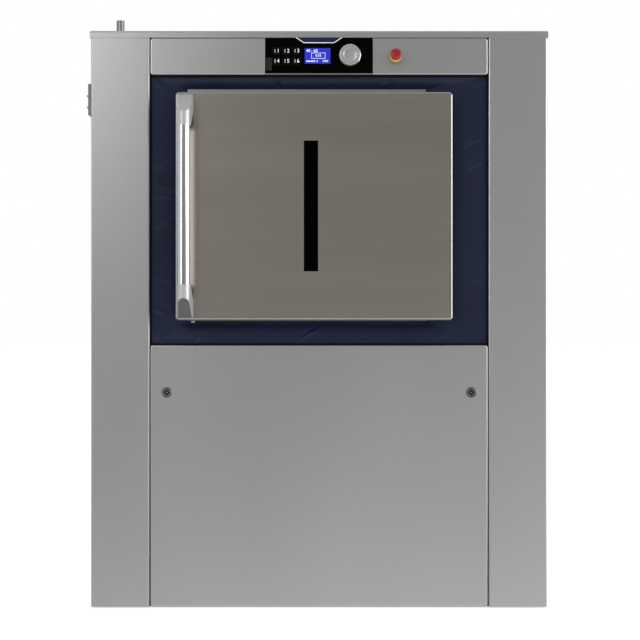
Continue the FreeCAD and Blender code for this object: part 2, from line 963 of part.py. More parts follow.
def make_drain():
    """Drain valve under the tub, the flexible hose below it, and the outlet through the rear panel."""
    x = size.drain_x
    side = size.drain_valve_side
    body = box("drain_body", spread(x, side), spread(as_size(0), side), (size.drain_valve_bottom, axis_z))
    tub = rod("drain_trim", "x", tub_outer + size.slip_gap, (axis_x - tub_half, 0, axis_z), 2 * tub_half)
    keep(cut("drain_valve", body, tub))

    outlet_top = size.drain_outlet_height + size.drain_outlet_radius
    hose_length = size.drain_valve_bottom - outlet_top
    keep(rod("drain_hose", "z", size.drain_hose_radius, (x, 0, outlet_top), hose_length))

    run_radius = size.drain_outlet_radius - size.drain_spigot_step
    tail = -run_radius
    length = half_depth + size.drain_outlet_proud - tail
    run = rod("outlet_run", "y", run_radius, (x, tail, size.drain_outlet_height), length)
    spigot_start = (x, half_depth + size.drain_spigot_setback, size.drain_outlet_height)
    spigot_length = size.drain_outlet_proud - size.drain_spigot_setback
    spigot = rod("outlet_spigot", "y", size.drain_outlet_radius, spigot_start, spigot_length)
    across = spread(x, 2 * size.drain_hose_radius)
    seat = box(
        "outlet_seat", across, spread(as_size(0), 2 * size.drain_hose_radius),
        (size.drain_outlet_height, outlet_top),
    )
    foot = box(
        "outlet_foot", across, spread(spring_y, size.cross_beam_depth),
        (size.runner_height, size.drain_outlet_height),
    )
    bore_start = (x, 0, size.drain_outlet_height)
    bore = rod("outlet_bore", "y", size.drain_outlet_radius - size.drain_outlet_wall, bore_start, length)
    keep(cut("drain_outlet", fuse("outlet_blank", run, spigot, seat, foot), bore))


# Suspension


def cradle_web(side):
    """Plate under one end of the tub, tapered from the springs to its welded top edge."""
    foot = spring_y + size.bracket_reach
    neck = spring_y - size.bracket_reach
    section = [
        (-foot, size.cradle_bottom), (foot, size.cradle_bottom), (foot, cradle_top),
        (neck, size.cradle_web_top), (-neck, size.cradle_web_top), (-foot, cradle_top),
    ]
    web = new_body("cradle_web_plate")
    start = tub_right if side > 0 else tub_left - size.cradle_web
    pad(web, outline(web, "YZ_Plane", section, start), size.cradle_web)
    return web


def cradle_bracket(side, end):
    """Arm from the web out over a spring and the damper beside it."""
    web_outer = tub_right + size.cradle_web if side > 0 else tub_left - size.cradle_web
    across = ordered(web_outer, side * (spring_x + size.bracket_reach))
    reach = damper_y + size.damper_side / 2
    along = ordered(end * (spring_y - size.bracket_reach), end * reach)
    return box("cradle_bracket", across, along, (size.cradle_bottom, cradle_top))


def motor_hangers():
    """Plate above the motor and the two straps that hang it from the rear beam."""
    foot_top = size.motor_axis_height + size.motor_foot_height
    motor_left = tub_right - size.motor_length
    plate_high = spring_y + size.cross_beam_depth / 2
    plate_top = foot_top + size.cradle_web
    plate_low = size.motor_axis_y - size.motor_foot_width / 2
    solids = [box("motor_plate", (motor_left, tub_right), (plate_low, plate_high), (foot_top, plate_top))]
    for low in (motor_left, tub_right - size.cradle_web):
        solids.append(box(
            "motor_hanger", (low, low + size.cradle_web), spread(spring_y, size.cross_beam_depth),
            (plate_top, size.cradle_bottom),
        ))
    return solids


def make_suspension():
    """Cradle under the tub on four rubber springs, with a friction damper beside each."""
    solids = [cradle_web(side) for side in (-1, 1)]
    solids += [cradle_bracket(side, end) for side, end in corner_places()]
    for end in (-1, 1):
        solids.append(box(
            "cradle_beam", (tub_left, tub_right), spread(end * spring_y, size.cross_beam_depth),
            (size.cradle_bottom, cradle_top),
        ))
    keep(group("suspension_cradle", *solids, *motor_hangers()))

    springs = []
    for side, end in corner_places():
        sides = spread(side * spring_x, size.spring_side), spread(end * spring_y, size.spring_side)
        springs.append(box("spring", *sides, (size.tower_top, size.cradle_bottom)))
    keep(group("suspension_springs", *springs))

    tubes = []
    rods = []
    bore = size.damper_rod_side + 2 * size.slip_gap
    floor = size.runner_height + size.damper_wall
    for side, end in corner_places():
        x, y = side * spring_x, end * damper_y
        sides = spread(x, size.damper_side), spread(y, size.damper_side)
        outside = box("damper_outside", *sides, (size.runner_height, size.damper_top))
        inside = box("damper_inside", spread(x, bore), spread(y, bore), (floor, size.damper_top))
        tubes.append(cut("damper", outside, inside))
        sides = spread(x, size.damper_rod_side), spread(y, size.damper_rod_side)
        rods.append(box("damper_rod", *sides, (size.damper_rod_foot, size.cradle_bottom)))
    keep(group("damper_tubes", *tubes))
    keep(group("damper_rods", *rods))


# Tub and drum


def drum_rod(name, radius, half_length):
    return rod(name, "x", radius, (axis_x - half_length, 0, axis_z), 2 * half_length)


def make_tub():
    """Rolled wrapper with a rectangular throat welded in on each side, end plates and bearings."""
    barrel = drum_rod("tub_barrel", tub_outer, tub_half)
    wide = throat_width + 2 * size.tub_sheet
    tall = throat_height + 2 * size.tub_sheet
    throat = box("throat_outside", spread(axis_x, wide), (frame_back, -frame_back), spread(axis_z, tall))
    inside = drum_rod("tub_inside", tub_inner, tub_half + size.tool_overrun)
    passage = box(
        "throat_inside", spread(axis_x, throat_width), (frame_back, -frame_back),
        spread(axis_z, throat_height),
    )
    keep(cut("outer_tub", fuse("tub_blank", barrel, throat), inside, passage))

    ends = []
    housings = []
    hole = size.shaft_radius + size.shaft_plate_gap
    bore = size.shaft_radius + size.running_gap
    foot = size.tub_end_plate
    tip = foot + size.housing_length
    for side, direction in ((-1, "-x"), (1, "x")):
        place = (axis_x + side * tub_half, 0, axis_z)
        plate = [(hole, 0), (tub_outer, 0), (tub_outer, foot), (hole, foot)]
        ends.append(turned_piece("tub_end", plate, direction, place))
        ends_x = ordered(place[0] + side * foot, place[0] + side * tip)
        square = spread(as_size(0), size.housing_side), spread(axis_z, size.housing_side)
        block = box("housing_block", ends_x, *square)
        bearing = rod("housing_bore", direction, bore, place, tip)
        housings.append(cut("bearing_housing", block, bearing))
    keep(group("tub_ends", *ends))
    keep(group("bearing_housings", *housings))


def flap_hinge():
    """Depth and height of the upper flap's hinge, from the drum axis."""
    radius = drum_inner - size.flap_barrel_radius + size.flap_barrel_bite
    edge = size.drum_radius * sine(size.drum_mouth_angle)
    height = edge - size.flap_barrel_radius - size.flap_gap - size.flap_hinge_set
    flat = Size(f"sqrt({radius.text}^2 - {height.text}^2)", math.sqrt(radius.value**2 - height.value**2))
    return -flat, height


def lifter(turn):
    """Tapered rib welded inside the drum, to lift the load."""
    half_foot = size.lifter_width / 2
    half_crown = size.lifter_crown / 2
    crown = drum_inner - size.lifter_height
    shoulder = drum_inner - size.drum_sheet
    section = [
        (-half_foot, size.drum_radius), (half_foot, size.drum_radius), (half_foot, shoulder),
        (half_crown, crown), (-half_crown, crown), (-half_foot, shoulder),
    ]
    body = new_body("lifter")
    length = size.drum_length - 2 * size.lifter_height
    pad(body, outline(body, "YZ_Plane", section), length, midplane=True)
    body.Placement = Placement(Vector(), Rotation(Vector(1, 0, 0), -turn))
    bind_base(body, axis_x, 0, axis_z)
    return body


def make_drum():
    """Drum wrapper with its loading mouth, three lifters, and the lugs and pins of the flap hinges."""
    mouth_rise = size.drum_radius * sine(size.drum_mouth_angle)
    barrel = drum_rod("drum_barrel", size.drum_radius, drum_half)
    inside = drum_rod("drum_inside", drum_inner, drum_half + size.tool_overrun)
    mouth = box(
        "drum_mouth", spread(axis_x, size.drum_mouth_width), (-size.drum_radius, -drum_inner / 2),
        spread(axis_z, 2 * mouth_rise),
    )
    wrapper = cut("drum_wrapper", barrel, inside, mouth)

    hinge_depth, hinge_rise = flap_hinge()
    lug_start = size.drum_mouth_width / 2 + size.slip_gap
    lug_middle = lug_start + size.flap_lug_length / 2
    lugs = []
    pins = []
    for level in (-1, 1):
        z = axis_z + level * hinge_rise
        for side in (-1, 1):
            lugs.append(box(
                "flap_lug", spread(axis_x + side * lug_middle, size.flap_lug_length),
                spread(hinge_depth, 2 * size.flap_lug), spread(z, 2 * size.flap_lug),
            ))
        start = (axis_x - lug_middle, hinge_depth, z)
        pins.append(rod("flap_pin", "x", size.flap_pin_radius, start, 2 * lug_middle))
    envelope = drum_rod("weld_envelope", drum_inner + size.drum_sheet / 2, drum_half)
    lifters = [lifter(turn) for turn in (90, 210, 330)]
    welded = common("welded_parts", fuse("lifters_and_lugs", *lifters, *lugs), envelope)
    keep(fuse("drum_shell", wrapper, welded, *pins))

    shaft_reach = {
        -1: size.housing_length,
        1: size.housing_length + size.pulley_offset + size.pulley_width + size.shaft_end,
    }
    ends = []
    for side, direction in ((-1, "-x"), (1, "x")):
        plate = size.drum_end_plate
        tip = plate + size.drum_end_gap + size.tub_end_plate + shaft_reach[side]
        profile = [
            (0, 0), (size.drum_radius, 0), (size.drum_radius, plate),
            (size.shaft_radius, plate), (size.shaft_radius, tip), (0, tip),
        ]
        ends.append(turned_piece("drum_end", profile, direction, (axis_x + side * drum_half, 0, axis_z)))
    keep(group("drum_ends", *ends))


def make_flaps():
    """Two curved flaps that close the drum mouth, each on a barrel along its outer edge."""
    hinge_depth, hinge_rise = flap_hinge()
    length = size.drum_mouth_width - 2 * size.flap_gap
    half_length = length / 2
    edge = size.drum_radius * sine(size.drum_mouth_angle) - size.flap_gap
    low = size.flap_gap / 2
    latch_z = axis_z + size.latch_height
    latch_ends = (-size.drum_radius - size.latch_proud, size.latch_depth - size.drum_radius)
    for name, level in (("drum_flap_upper", 1), ("drum_flap_lower", -1)):
        shell = cut(
            f"{name}_ring", drum_rod(f"{name}_outside", size.drum_radius, half_length),
            drum_rod(f"{name}_inside", drum_inner, half_length + size.tool_overrun),
        )
        rise = ordered(axis_z + level * low, axis_z + level * edge)
        window = box(f"{name}_window", spread(axis_x, length), (-size.drum_radius, 0), rise)
        plate = common(f"{name}_plate", shell, window)
        start = (axis_x - half_length, hinge_depth, axis_z + level * hinge_rise)
        barrel = rod(f"{name}_barrel", "x", size.flap_barrel_radius, start, length)
        tools = [rod(f"{name}_bore", "x", size.flap_pin_radius + size.running_gap, start, length)]
        if level > 0:
            room = 2 * size.slip_gap
            tools.append(box(
                "latch_hole", spread(axis_x, size.latch_width + room), latch_ends,
                spread(latch_z, size.latch_plate_height + room),
            ))
        keep(cut(name, fuse(f"{name}_blank", plate, barrel), *tools))
    across = spread(axis_x, size.latch_width)
    keep(box("flap_latch_button", across, latch_ends, spread(latch_z, size.latch_plate_height)))


# Drive


def make_drive():
    """Rimmed drum pulley, motor with its own pulley, and the belt around both."""
    bore = size.shaft_radius + size.running_gap
    width = size.pulley_width
    rim = size.pulley_radius - size.pulley_rim
    profile = [
        (bore, 0), (size.pulley_radius, 0), (size.pulley_radius, width),
        (rim, width), (rim, size.pulley_web), (bore, size.pulley_web),
    ]
    keep(turned_piece("drum_pulley", profile, "x", (pulley_x, 0, axis_z)))

    axis_place = (size.motor_axis_y, size.motor_axis_height)
    motor_left = tub_right - size.motor_length
    frame = motor_frame(motor_left)
    middle = size.motor_length / 2
    bore_start = (motor_left + middle, *axis_place)
    motor_bore = rod("motor_bore", "x", size.motor_shaft_radius + size.running_gap, bore_start, middle)
    foot = box(
        "motor_foot", (motor_left + size.motor_shield_length, tub_right - size.motor_shield_length),
        spread(size.motor_axis_y, size.motor_foot_width),
        (size.motor_axis_height + size.motor_side / 2, size.motor_axis_height + size.motor_foot_height),
    )
    keep(cut("drive_motor", fuse("motor_blank", frame, foot), motor_bore))

    shaft_start = motor_left + middle + size.slip_gap
    face = pulley_x - shaft_start
    rotor = [
        (0, 0), (size.motor_shaft_radius, 0), (size.motor_shaft_radius, face),
        (size.motor_pulley_radius, face), (size.motor_pulley_radius, face + width), (0, face + width),
    ]
    keep(turned_piece("motor_pulley", rotor, "x", (shaft_start, *axis_place)))

    drum_centre = Vector(0, 0, axis_z.value)
    motor_centre = Vector(0, size.motor_axis_y.value, size.motor_axis_height.value)
    loops = []
    for lift in (size.slip_gap, size.slip_gap + size.belt_thickness):
        big = size.pulley_radius + lift
        small = size.motor_pulley_radius + lift
        loops.append(belt_loop(drum_centre, big.value, motor_centre, small.value))
    across = Vector(size.belt_width.value, 0, 0)
    inner, outer = (Part.Face(loop).extrude(across) for loop in loops)
    belt = doc.addObject("Part::Feature", "drive_belt")
    belt.Shape = outer.cut(inner)
    start = pulley_x + (width - size.belt_width) / 2
    belt.Placement = Placement(Vector(start.value, 0, 0), Rotation())
    keep(belt)


def motor_frame(start):
    """Square motor frame with broad bevels along its four edges."""
    half = size.motor_side / 2
    flat = half - size.motor_bevel
    corners = [
        (half, flat), (flat, half), (-flat, half), (-half, flat),
        (-half, -flat), (-flat, -half), (flat, -half), (half, -flat),
    ]
    section = [(size.motor_axis_y + y, size.motor_axis_height + z) for y, z in corners]
    body = new_body("motor_frame")
    pad(body, outline(body, "YZ_Plane", section, start), size.motor_length)
    return body


def belt_loop(big_centre, big_radius, small_centre, small_radius):
    """Closed loop in the YZ plane: two tangent runs and the arcs round both pulleys."""
    line = small_centre - big_centre
    distance = line.Length
    along = line / distance
    across = Vector(1, 0, 0).cross(along)
    lean = (big_radius - small_radius) / distance
    side = math.sqrt(1 - lean**2)
    ends = []
    for sign in (1, -1):
        normal = along * lean + across * (sign * side)
        ends.append((big_centre + normal * big_radius, small_centre + normal * small_radius))
    big_arc = Part.Arc(ends[0][0], big_centre - along * big_radius, ends[1][0])
    small_arc = Part.Arc(ends[1][1], small_centre + along * small_radius, ends[0][1])
    runs = [Part.LineSegment(*ends[0]), Part.LineSegment(*ends[1])]
    return Part.Wire(Part.__sortEdges__([item.toShape() for item in (big_arc, small_arc, *runs)]))


# Doors


def make_door_frame():
    """Seating frame on the throat, with the two arms that carry the door's hinge barrels."""
    depth = (frame_front, frame_back)
    ring = box("frame_plate", (frame_left, frame_right), depth, (frame_low, frame_high))
    passage = box(
        "frame_passage", spread(axis_x, throat_width), depth, spread(axis_z, throat_height),
    )
    arms = []
    bores = []
    bore_radius = size.hinge_pin_radius + size.running_gap
    arm_front = hinge_y - size.hinge_arm / 2
    post_left = frame_right - size.hinge_post / 2
    for height in hinge_heights:
        levels = spread(height, size.hinge_height)
        post_ends = (post_left, post_left + size.hinge_post)
        arms.append(box("hinge_post", post_ends, (arm_front, frame_front), levels))
        arms.append(box("hinge_arm", (post_left, hinge_x), (arm_front, arm_front + size.hinge_arm), levels))
        start = (hinge_x, hinge_y, levels[0])
        eye = spread(hinge_x, size.hinge_eye), spread(hinge_y, size.hinge_eye)
        arms.append(box("hinge_eye", *eye, levels))
        bores.append(rod("hinge_bore", "z", bore_radius, start, size.hinge_height))
    frame = cut("front_door_frame", fuse("frame_blank", ring, *arms), passage, *bores)
    keep(frame)
    keep(mirrored_copy("rear_door_frame", frame))


def door_pan():
    """Pressed sheet with folded sides, bevelled front edge and the slot for the window."""
    body = new_body("door_pan")
    wide = (door_left, door_right)
    tall = (size.door_bottom, door_top)
    pad(body, rounded_rectangle(body, "XZ_Plane", wide, tall, size.door_round, -door_back), size.door_depth)
    chamfer_edges(body, size.door_edge_chamfer, lambda edge: lies_at(edge, y=door_front))
    skin = size.sheet_steel
    inner_wide = (wide[0] + skin, wide[1] - skin)
    inner_tall = (tall[0] + skin, tall[1] - skin)
    hollow = rounded_rectangle(body, "XZ_Plane", inner_wide, inner_tall, size.door_round - skin, -door_back)
    pocket(body, hollow, size.door_depth - skin, backwards=True)
    across = spread(size.slot_centre_x, size.slot_width)
    upright = (size.slot_bottom, size.slot_bottom + size.slot_height)
    pocket(body, rectangle(body, "XZ_Plane", across, upright, -door_front), skin)
    return body


def make_door_skin():
    """Door pan with its hinge knuckles and pins, and the stub under its free side."""
    skin = size.sheet_steel
    half = size.hinge_height / 2 + size.slip_gap
    across = (hinge_x - size.hinge_knuckle / 2, door_right - skin)
    depth = (door_front + skin, hinge_y + size.hinge_knuckle / 2)
    hinges = []
    for height in hinge_heights:
        for low in (height - half - size.knuckle_height, height + half):
            hinges.append(box("hinge_knuckle", across, depth, (low, low + size.knuckle_height)))
        pin_foot = height - half - size.knuckle_height / 2
        pin_length = 2 * half + size.knuckle_height
        pin_place = (hinge_x, hinge_y, pin_foot)
        hinges.append(rod("hinge_pin", "z", size.hinge_pin_radius, pin_place, pin_length))
    stub = box(
        "door_stub", spread(door_left + size.stub_offset, size.stub_width),
        (door_back - 2 * size.stub_width, door_back - size.stub_width),
        (size.door_bottom - size.stub_height, size.door_bottom + skin),
    )
    door = keep(fuse("front_door_skin", door_pan(), stub, *hinges))
    keep(mirrored_copy("rear_door_skin", door))


def make_door_inside():
    """Slot window, pressed liner whose plug enters the throat, and the gasket around the plug."""
    skin = size.sheet_steel
    lap = size.window_lap
    pane_front = door_front + skin
    window = keep(box(
        "front_door_window", spread(size.slot_centre_x, size.slot_width + 2 * lap),
        (pane_front, pane_front + size.window_thickness),
        (size.slot_bottom - lap, size.slot_bottom + size.slot_height + lap),
    ))
    keep(mirrored_copy("rear_door_window", window))

    plug_width = throat_width - 2 * size.plug_clearance
    plug_height = throat_height - 2 * size.plug_clearance
    plug_back = door_back + size.plug_depth
    inset = size.liner_flange_inset
    flange = box(
        "liner_flange", (door_left + skin, door_right - size.liner_hinge_inset),
        (door_back - skin, door_back), (size.door_bottom + inset, door_top - inset),
    )
    plug_ends = (door_back - skin, plug_back)
    plug = box("liner_plug", spread(axis_x, plug_width), plug_ends, spread(axis_z, plug_height))
    hollow = box(
        "liner_hollow", spread(axis_x, plug_width - 2 * skin), (door_back - skin, plug_back - skin),
        spread(axis_z, plug_height - 2 * skin),
    )
    liner = keep(cut("front_door_liner", fuse("liner_blank", flange, plug), hollow))
    keep(mirrored_copy("rear_door_liner", liner))

    body = new_body("front_door_gasket")
    gap = 2 * size.slip_gap
    rim = 2 * size.gasket_width
    length = frame_front - door_back - size.slip_gap
    wide = spread(axis_x, plug_width + gap + rim)
    tall = spread(axis_z, plug_height + gap + rim)
    ring = rounded_rectangle(body, "XZ_Plane", wide, tall, size.gasket_width, -door_back)
    pad(body, ring, length, backwards=True)
    wide = spread(axis_x, plug_width + gap)
    tall = spread(axis_z, plug_height + gap)
    pocket(body, rectangle(body, "XZ_Plane", wide, tall, -door_back), length)
    keep(body)
    keep(mirrored_copy("rear_door_gasket", body))


def handle_post(name, foot_end, bar_end):
    """Cast post: faceted wedge that rises from the door and takes the end of the bar."""
    up = 1 if foot_end.value > bar_end.value else -1
    bar_y = door_front - size.handle_standoff
    crest = bar_y - size.handle_radius
    section = [
        (door_front, foot_end), (door_front - size.post_tip_depth, foot_end),
        (crest, bar_end + up * size.post_shoulder), (crest, bar_end),
        (bar_y + size.handle_radius, bar_end), (door_front, foot_end - up * size.post_foot_length),
    ]
    body = new_body(name)
    bar_x = door_left + size.handle_inset
    start = bar_x - size.post_width / 2
    pad(body, outline(body, "YZ_Plane", section, start), size.post_width)

    def front_ridge(edge):
        """True on the long edges of the post's front, on either flank."""
        bounds = edge.BoundBox
        runs_up = bounds.ZLength > close_enough and bounds.XLength < close_enough
        return runs_up and abs(bounds.YMin - crest.value) < close_enough

    chamfer_edges(body, size.post_chamfer, front_ridge)
    return body


def make_handles():
    bar_bottom = size.handle_bar_bottom
    bar_top = bar_bottom + size.handle_bar_length
    bar_x = door_left + size.handle_inset
    bar_y = door_front - size.handle_standoff
    bar = rod("handle_bar", "z", size.handle_radius, (bar_x, bar_y, bar_bottom), size.handle_bar_length)
    low_post = handle_post("handle_low_post", bar_bottom - size.post_length, bar_bottom)
    high_post = handle_post("handle_high_post", bar_top + size.post_length, bar_top)
    handle = keep(group("front_door_handle", bar, low_post, high_post))
    keep(mirrored_copy("rear_door_handle", handle))


def check_and_export():
    """Stop if anything failed to build, then write each sub-part to its own file."""
    doc.recompute()
    failed = [item.Label for item in doc.Objects if "Invalid" in item.State or "Error" in item.State]
    for piece in pieces:
        if piece.Shape.isNull() or not piece.Shape.isValid():
            failed.append(piece.Label)
    if failed:
        raise RuntimeError(f"failed: {failed}")
    os.makedirs("parts", exist_ok=True)
    for piece in pieces:
        piece.Shape.exportStep(f"parts/{piece.Label}.step")
    print(len(pieces), "sub-parts written")


make_base()
make_columns()
make_side_panels()
make_vent()
make_cap()
make_panels()
make_bellows()
make_fascia()
make_display()
make_keys()
make_knob()
make_stop()
make_locks()
make_water()
make_drain()
make_suspension()
make_tub()
make_drum()
make_flaps()
make_drive()
make_door_frame()
make_door_skin()
make_door_inside()
make_handles()
check_and_export()
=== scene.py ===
import math

import bmesh
import bpy
from mathutils import Matrix, Vector, noise


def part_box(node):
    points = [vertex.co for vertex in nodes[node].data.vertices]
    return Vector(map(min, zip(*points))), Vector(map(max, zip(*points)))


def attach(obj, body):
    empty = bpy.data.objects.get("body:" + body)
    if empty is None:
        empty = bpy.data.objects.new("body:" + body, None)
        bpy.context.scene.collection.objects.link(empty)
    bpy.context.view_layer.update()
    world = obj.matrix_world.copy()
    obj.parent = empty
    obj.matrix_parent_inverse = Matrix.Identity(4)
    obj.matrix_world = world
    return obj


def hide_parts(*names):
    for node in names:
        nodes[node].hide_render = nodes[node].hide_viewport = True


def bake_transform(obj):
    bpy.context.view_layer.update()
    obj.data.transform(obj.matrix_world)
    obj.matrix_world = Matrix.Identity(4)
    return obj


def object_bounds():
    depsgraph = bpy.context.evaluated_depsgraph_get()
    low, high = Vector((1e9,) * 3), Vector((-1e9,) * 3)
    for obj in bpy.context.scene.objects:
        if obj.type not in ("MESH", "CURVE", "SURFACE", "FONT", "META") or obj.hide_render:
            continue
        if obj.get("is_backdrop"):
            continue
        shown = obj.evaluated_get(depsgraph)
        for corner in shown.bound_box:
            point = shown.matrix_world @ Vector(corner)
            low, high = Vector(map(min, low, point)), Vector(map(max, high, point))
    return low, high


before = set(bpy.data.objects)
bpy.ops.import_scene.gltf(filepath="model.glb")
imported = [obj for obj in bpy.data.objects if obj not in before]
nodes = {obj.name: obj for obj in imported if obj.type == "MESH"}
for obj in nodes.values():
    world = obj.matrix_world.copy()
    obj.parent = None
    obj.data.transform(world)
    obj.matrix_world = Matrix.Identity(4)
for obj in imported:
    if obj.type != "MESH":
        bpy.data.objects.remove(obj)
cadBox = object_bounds()
scene = bpy.context.scene
mm = 0.001
print("frame loaded:", len(nodes), "nodes")


def tone(red, green, blue):
    parts = [c / 255 for c in (red, green, blue)]
    return [c / 12.92 if c < 0.0405 else ((c + 0.055) / 1.055) ** 2.4 for c in parts] + [1]


# camera square to the loading side, at the height of the photograph
shot = {"front": -0.480, "distance": 4.0, "height": 0.7642, "middle": 0.0026, "span": 1.6982,
        "sensor": 36}


def setCamera():
    lens = bpy.data.cameras.new("photoLens")
    lens.sensor_width = shot["sensor"]
    lens.lens = shot["sensor"] * shot["distance"] / shot["span"]
    camera = bpy.data.objects.new("photoCamera", lens)
    camera.location = (shot["middle"], shot["front"] - shot["distance"], shot["height"])
    camera.rotation_euler = (math.radians(90), 0, 0)
    scene.collection.objects.link(camera)
    scene.camera = camera


setCamera()

# a white backdrop, with grey walls for the steel to mirror, dim on the side of the camera
studio = {
    "patch": 0.224, "walls": 0.55, "patchEnd": -0.93, "wallStart": -0.62,
    "lowLift": 1.14, "low": (-0.12, -0.38), "highLift": 0.1, "high": (0.03, 0.32),
    "leanFrom": (-0.2, 0.25), "lean": (0.84, 1.52),  # the low glow is stronger to the right
    "steep": (-0.55, -0.85), "underneath": 0.5,
}
lamps = [
    {"name": "leftBox", "at": (-2.35, -2.85, 1.6), "aim": (-0.3, -0.5, 1.3), "size": (0.9, 1.5),
     "glow": 1.8},
    {"name": "rightBox", "at": (2.8, -2.6, 1.95), "aim": (0.3, -0.5, 1.4), "size": (2.0, 1.3),
     "glow": 1.25},
    {"name": "cornerBox", "at": (-1.95, -4.5, 2.6), "aim": (-0.5, -0.5, 1.4), "size": (1.0, 1.2),
     "glow": 4.2},
    {"name": "sideBox", "at": (2.8, -1.3, 1.1), "aim": (0, -1.3, 1.1), "size": (2.2, 2.4),
     "glow": 2.6},
    {"name": "topBox", "at": (0.0, 0.4, 4.0), "aim": (0, 0.2, 1.0), "size": (2.4, 1.6), "glow": 0.6},
]


def setStudio():
    scene.view_settings.view_transform = "Standard"
    world = bpy.data.worlds.new("studioWorld")
    scene.world = world
    world.use_nodes = True
    tree = world.node_tree
    back = tree.nodes["Background"]
    coords = tree.nodes.new("ShaderNodeTexCoord")
    split = tree.nodes.new("ShaderNodeSeparateXYZ")
    tree.links.new(coords.outputs["Generated"], split.inputs[0])

    def shadeBy(axis, start, end, low, high):
        span = tree.nodes.new("ShaderNodeMapRange")
        span.interpolation_type = "SMOOTHSTEP"
        ends = {"From Min": start, "From Max": end, "To Min": low, "To Max": high}
        for socket, value in ends.items():
            span.inputs[socket].default_value = value
        tree.links.new(split.outputs[axis], span.inputs["Value"])
        return span.outputs["Result"]

    def joinBy(kind, *sources):
        step = tree.nodes.new("ShaderNodeMath")
        step.operation = kind
        for socket, source in zip(step.inputs, sources):
            tree.links.new(source, socket)
        return step.outputs[0]

    facing = studio["patchEnd"], studio["wallStart"]
    walls = shadeBy("Y", *facing, studio["patch"], studio["walls"])
    below = shadeBy("Z", *studio["low"], 0, studio["lowLift"])
    above = shadeBy("Z", *studio["high"], 0, studio["highLift"])
    lean = shadeBy("X", *studio["leanFrom"], *studio["lean"])
    ahead = shadeBy("Y", *facing, 1, 0)  # the glows are for the front only
    underneath = shadeBy("Z", *studio["steep"], 1, studio["underneath"])
    glows, share = joinBy("ADD", below, above), joinBy("MULTIPLY", lean, ahead)
    mirrored = joinBy("MULTIPLY", joinBy("MULTIPLY_ADD", glows, share, walls), underneath)
    rays = tree.nodes.new("ShaderNodeLightPath")
    shade = joinBy("MAXIMUM", mirrored, rays.outputs["Is Camera Ray"])  # the backdrop itself is white
    tree.links.new(shade, back.inputs["Color"])
    for lamp in lamps:
        light = bpy.data.lights.new(lamp["name"], "AREA")
        light.shape = "RECTANGLE"
        light.size, light.size_y = lamp["size"]
        light.energy = lamp["glow"] * math.pi * light.size * light.size_y
        holder = bpy.data.objects.new(lamp["name"], light)
        holder.location = lamp["at"]
        aim = Vector(lamp["aim"]) - Vector(lamp["at"])
        holder.rotation_euler = aim.to_track_quat("-Z", "Y").to_euler()
        holder.visible_camera = False
        scene.collection.objects.link(holder)


setStudio()
print("camera and studio set:", len(lamps), "lamps")

# one recipe for all finishes: fine grain and broad clouds drive colour, roughness and relief
recipe = {"span": (0.3, 0.7), "grainDetail": 3, "cloudDetail": 2, "clouds": ((3, 3, 3), 0.4),
          "depth": 0.0003}


def makeFinish(name, look, broad=recipe["clouds"]):
    dark, light, rough, grainStretch, height, sockets = look
    material = bpy.data.materials.new(name)
    material.use_nodes = True
    tree = material.node_tree
    tree.nodes.clear()
    out = tree.nodes.new("ShaderNodeOutputMaterial")
    shader = tree.nodes.new("ShaderNodeBsdfPrincipled")
    tree.links.new(shader.outputs["BSDF"], out.inputs["Surface"])
    coords = tree.nodes.new("ShaderNodeTexCoord")

    def pattern(stretch, detail):
        mapping = tree.nodes.new("ShaderNodeMapping")
        mapping.inputs["Scale"].default_value = stretch
        texture = tree.nodes.new("ShaderNodeTexNoise")
        texture.inputs["Scale"].default_value = 1
        texture.inputs["Detail"].default_value = detail
        tree.links.new(coords.outputs["Object"], mapping.inputs["Vector"])
        tree.links.new(mapping.outputs["Vector"], texture.inputs["Vector"])
        return texture.outputs["Fac"]

    grain = pattern(grainStretch, recipe["grainDetail"])
    clouds = pattern(broad[0], recipe["cloudDetail"])
    both = tree.nodes.new("ShaderNodeMix")
    both.inputs["Factor"].default_value = broad[1]
    tree.links.new(grain, both.inputs["A"])
    tree.links.new(clouds, both.inputs["B"])
    ramp = tree.nodes.new("ShaderNodeValToRGB")
    for end, place, shade in zip(ramp.color_ramp.elements, recipe["span"], (dark, light)):
        end.position = place
        end.color = tone(*shade)
    tree.links.new(both.outputs["Result"], ramp.inputs["Fac"])
    tree.links.new(ramp.outputs["Color"], shader.inputs["Base Color"])
    span = tree.nodes.new("ShaderNodeMapRange")
    span.inputs["From Min"].default_value, span.inputs["From Max"].default_value = recipe["span"]
    span.inputs["To Min"].default_value, span.inputs["To Max"].default_value = rough
    tree.links.new(both.outputs["Result"], span.inputs["Value"])
    tree.links.new(span.outputs["Result"], shader.inputs["Roughness"])
    relief = tree.nodes.new("ShaderNodeBump")
    relief.inputs["Strength"].default_value = height
    relief.inputs["Distance"].default_value = recipe["depth"]
    tree.links.new(grain, relief.inputs["Height"])
    tree.links.new(relief.outputs["Normal"], shader.inputs["Normal"])
    for socket, value in sockets.items():
        shader.inputs[socket].default_value = value
    return material


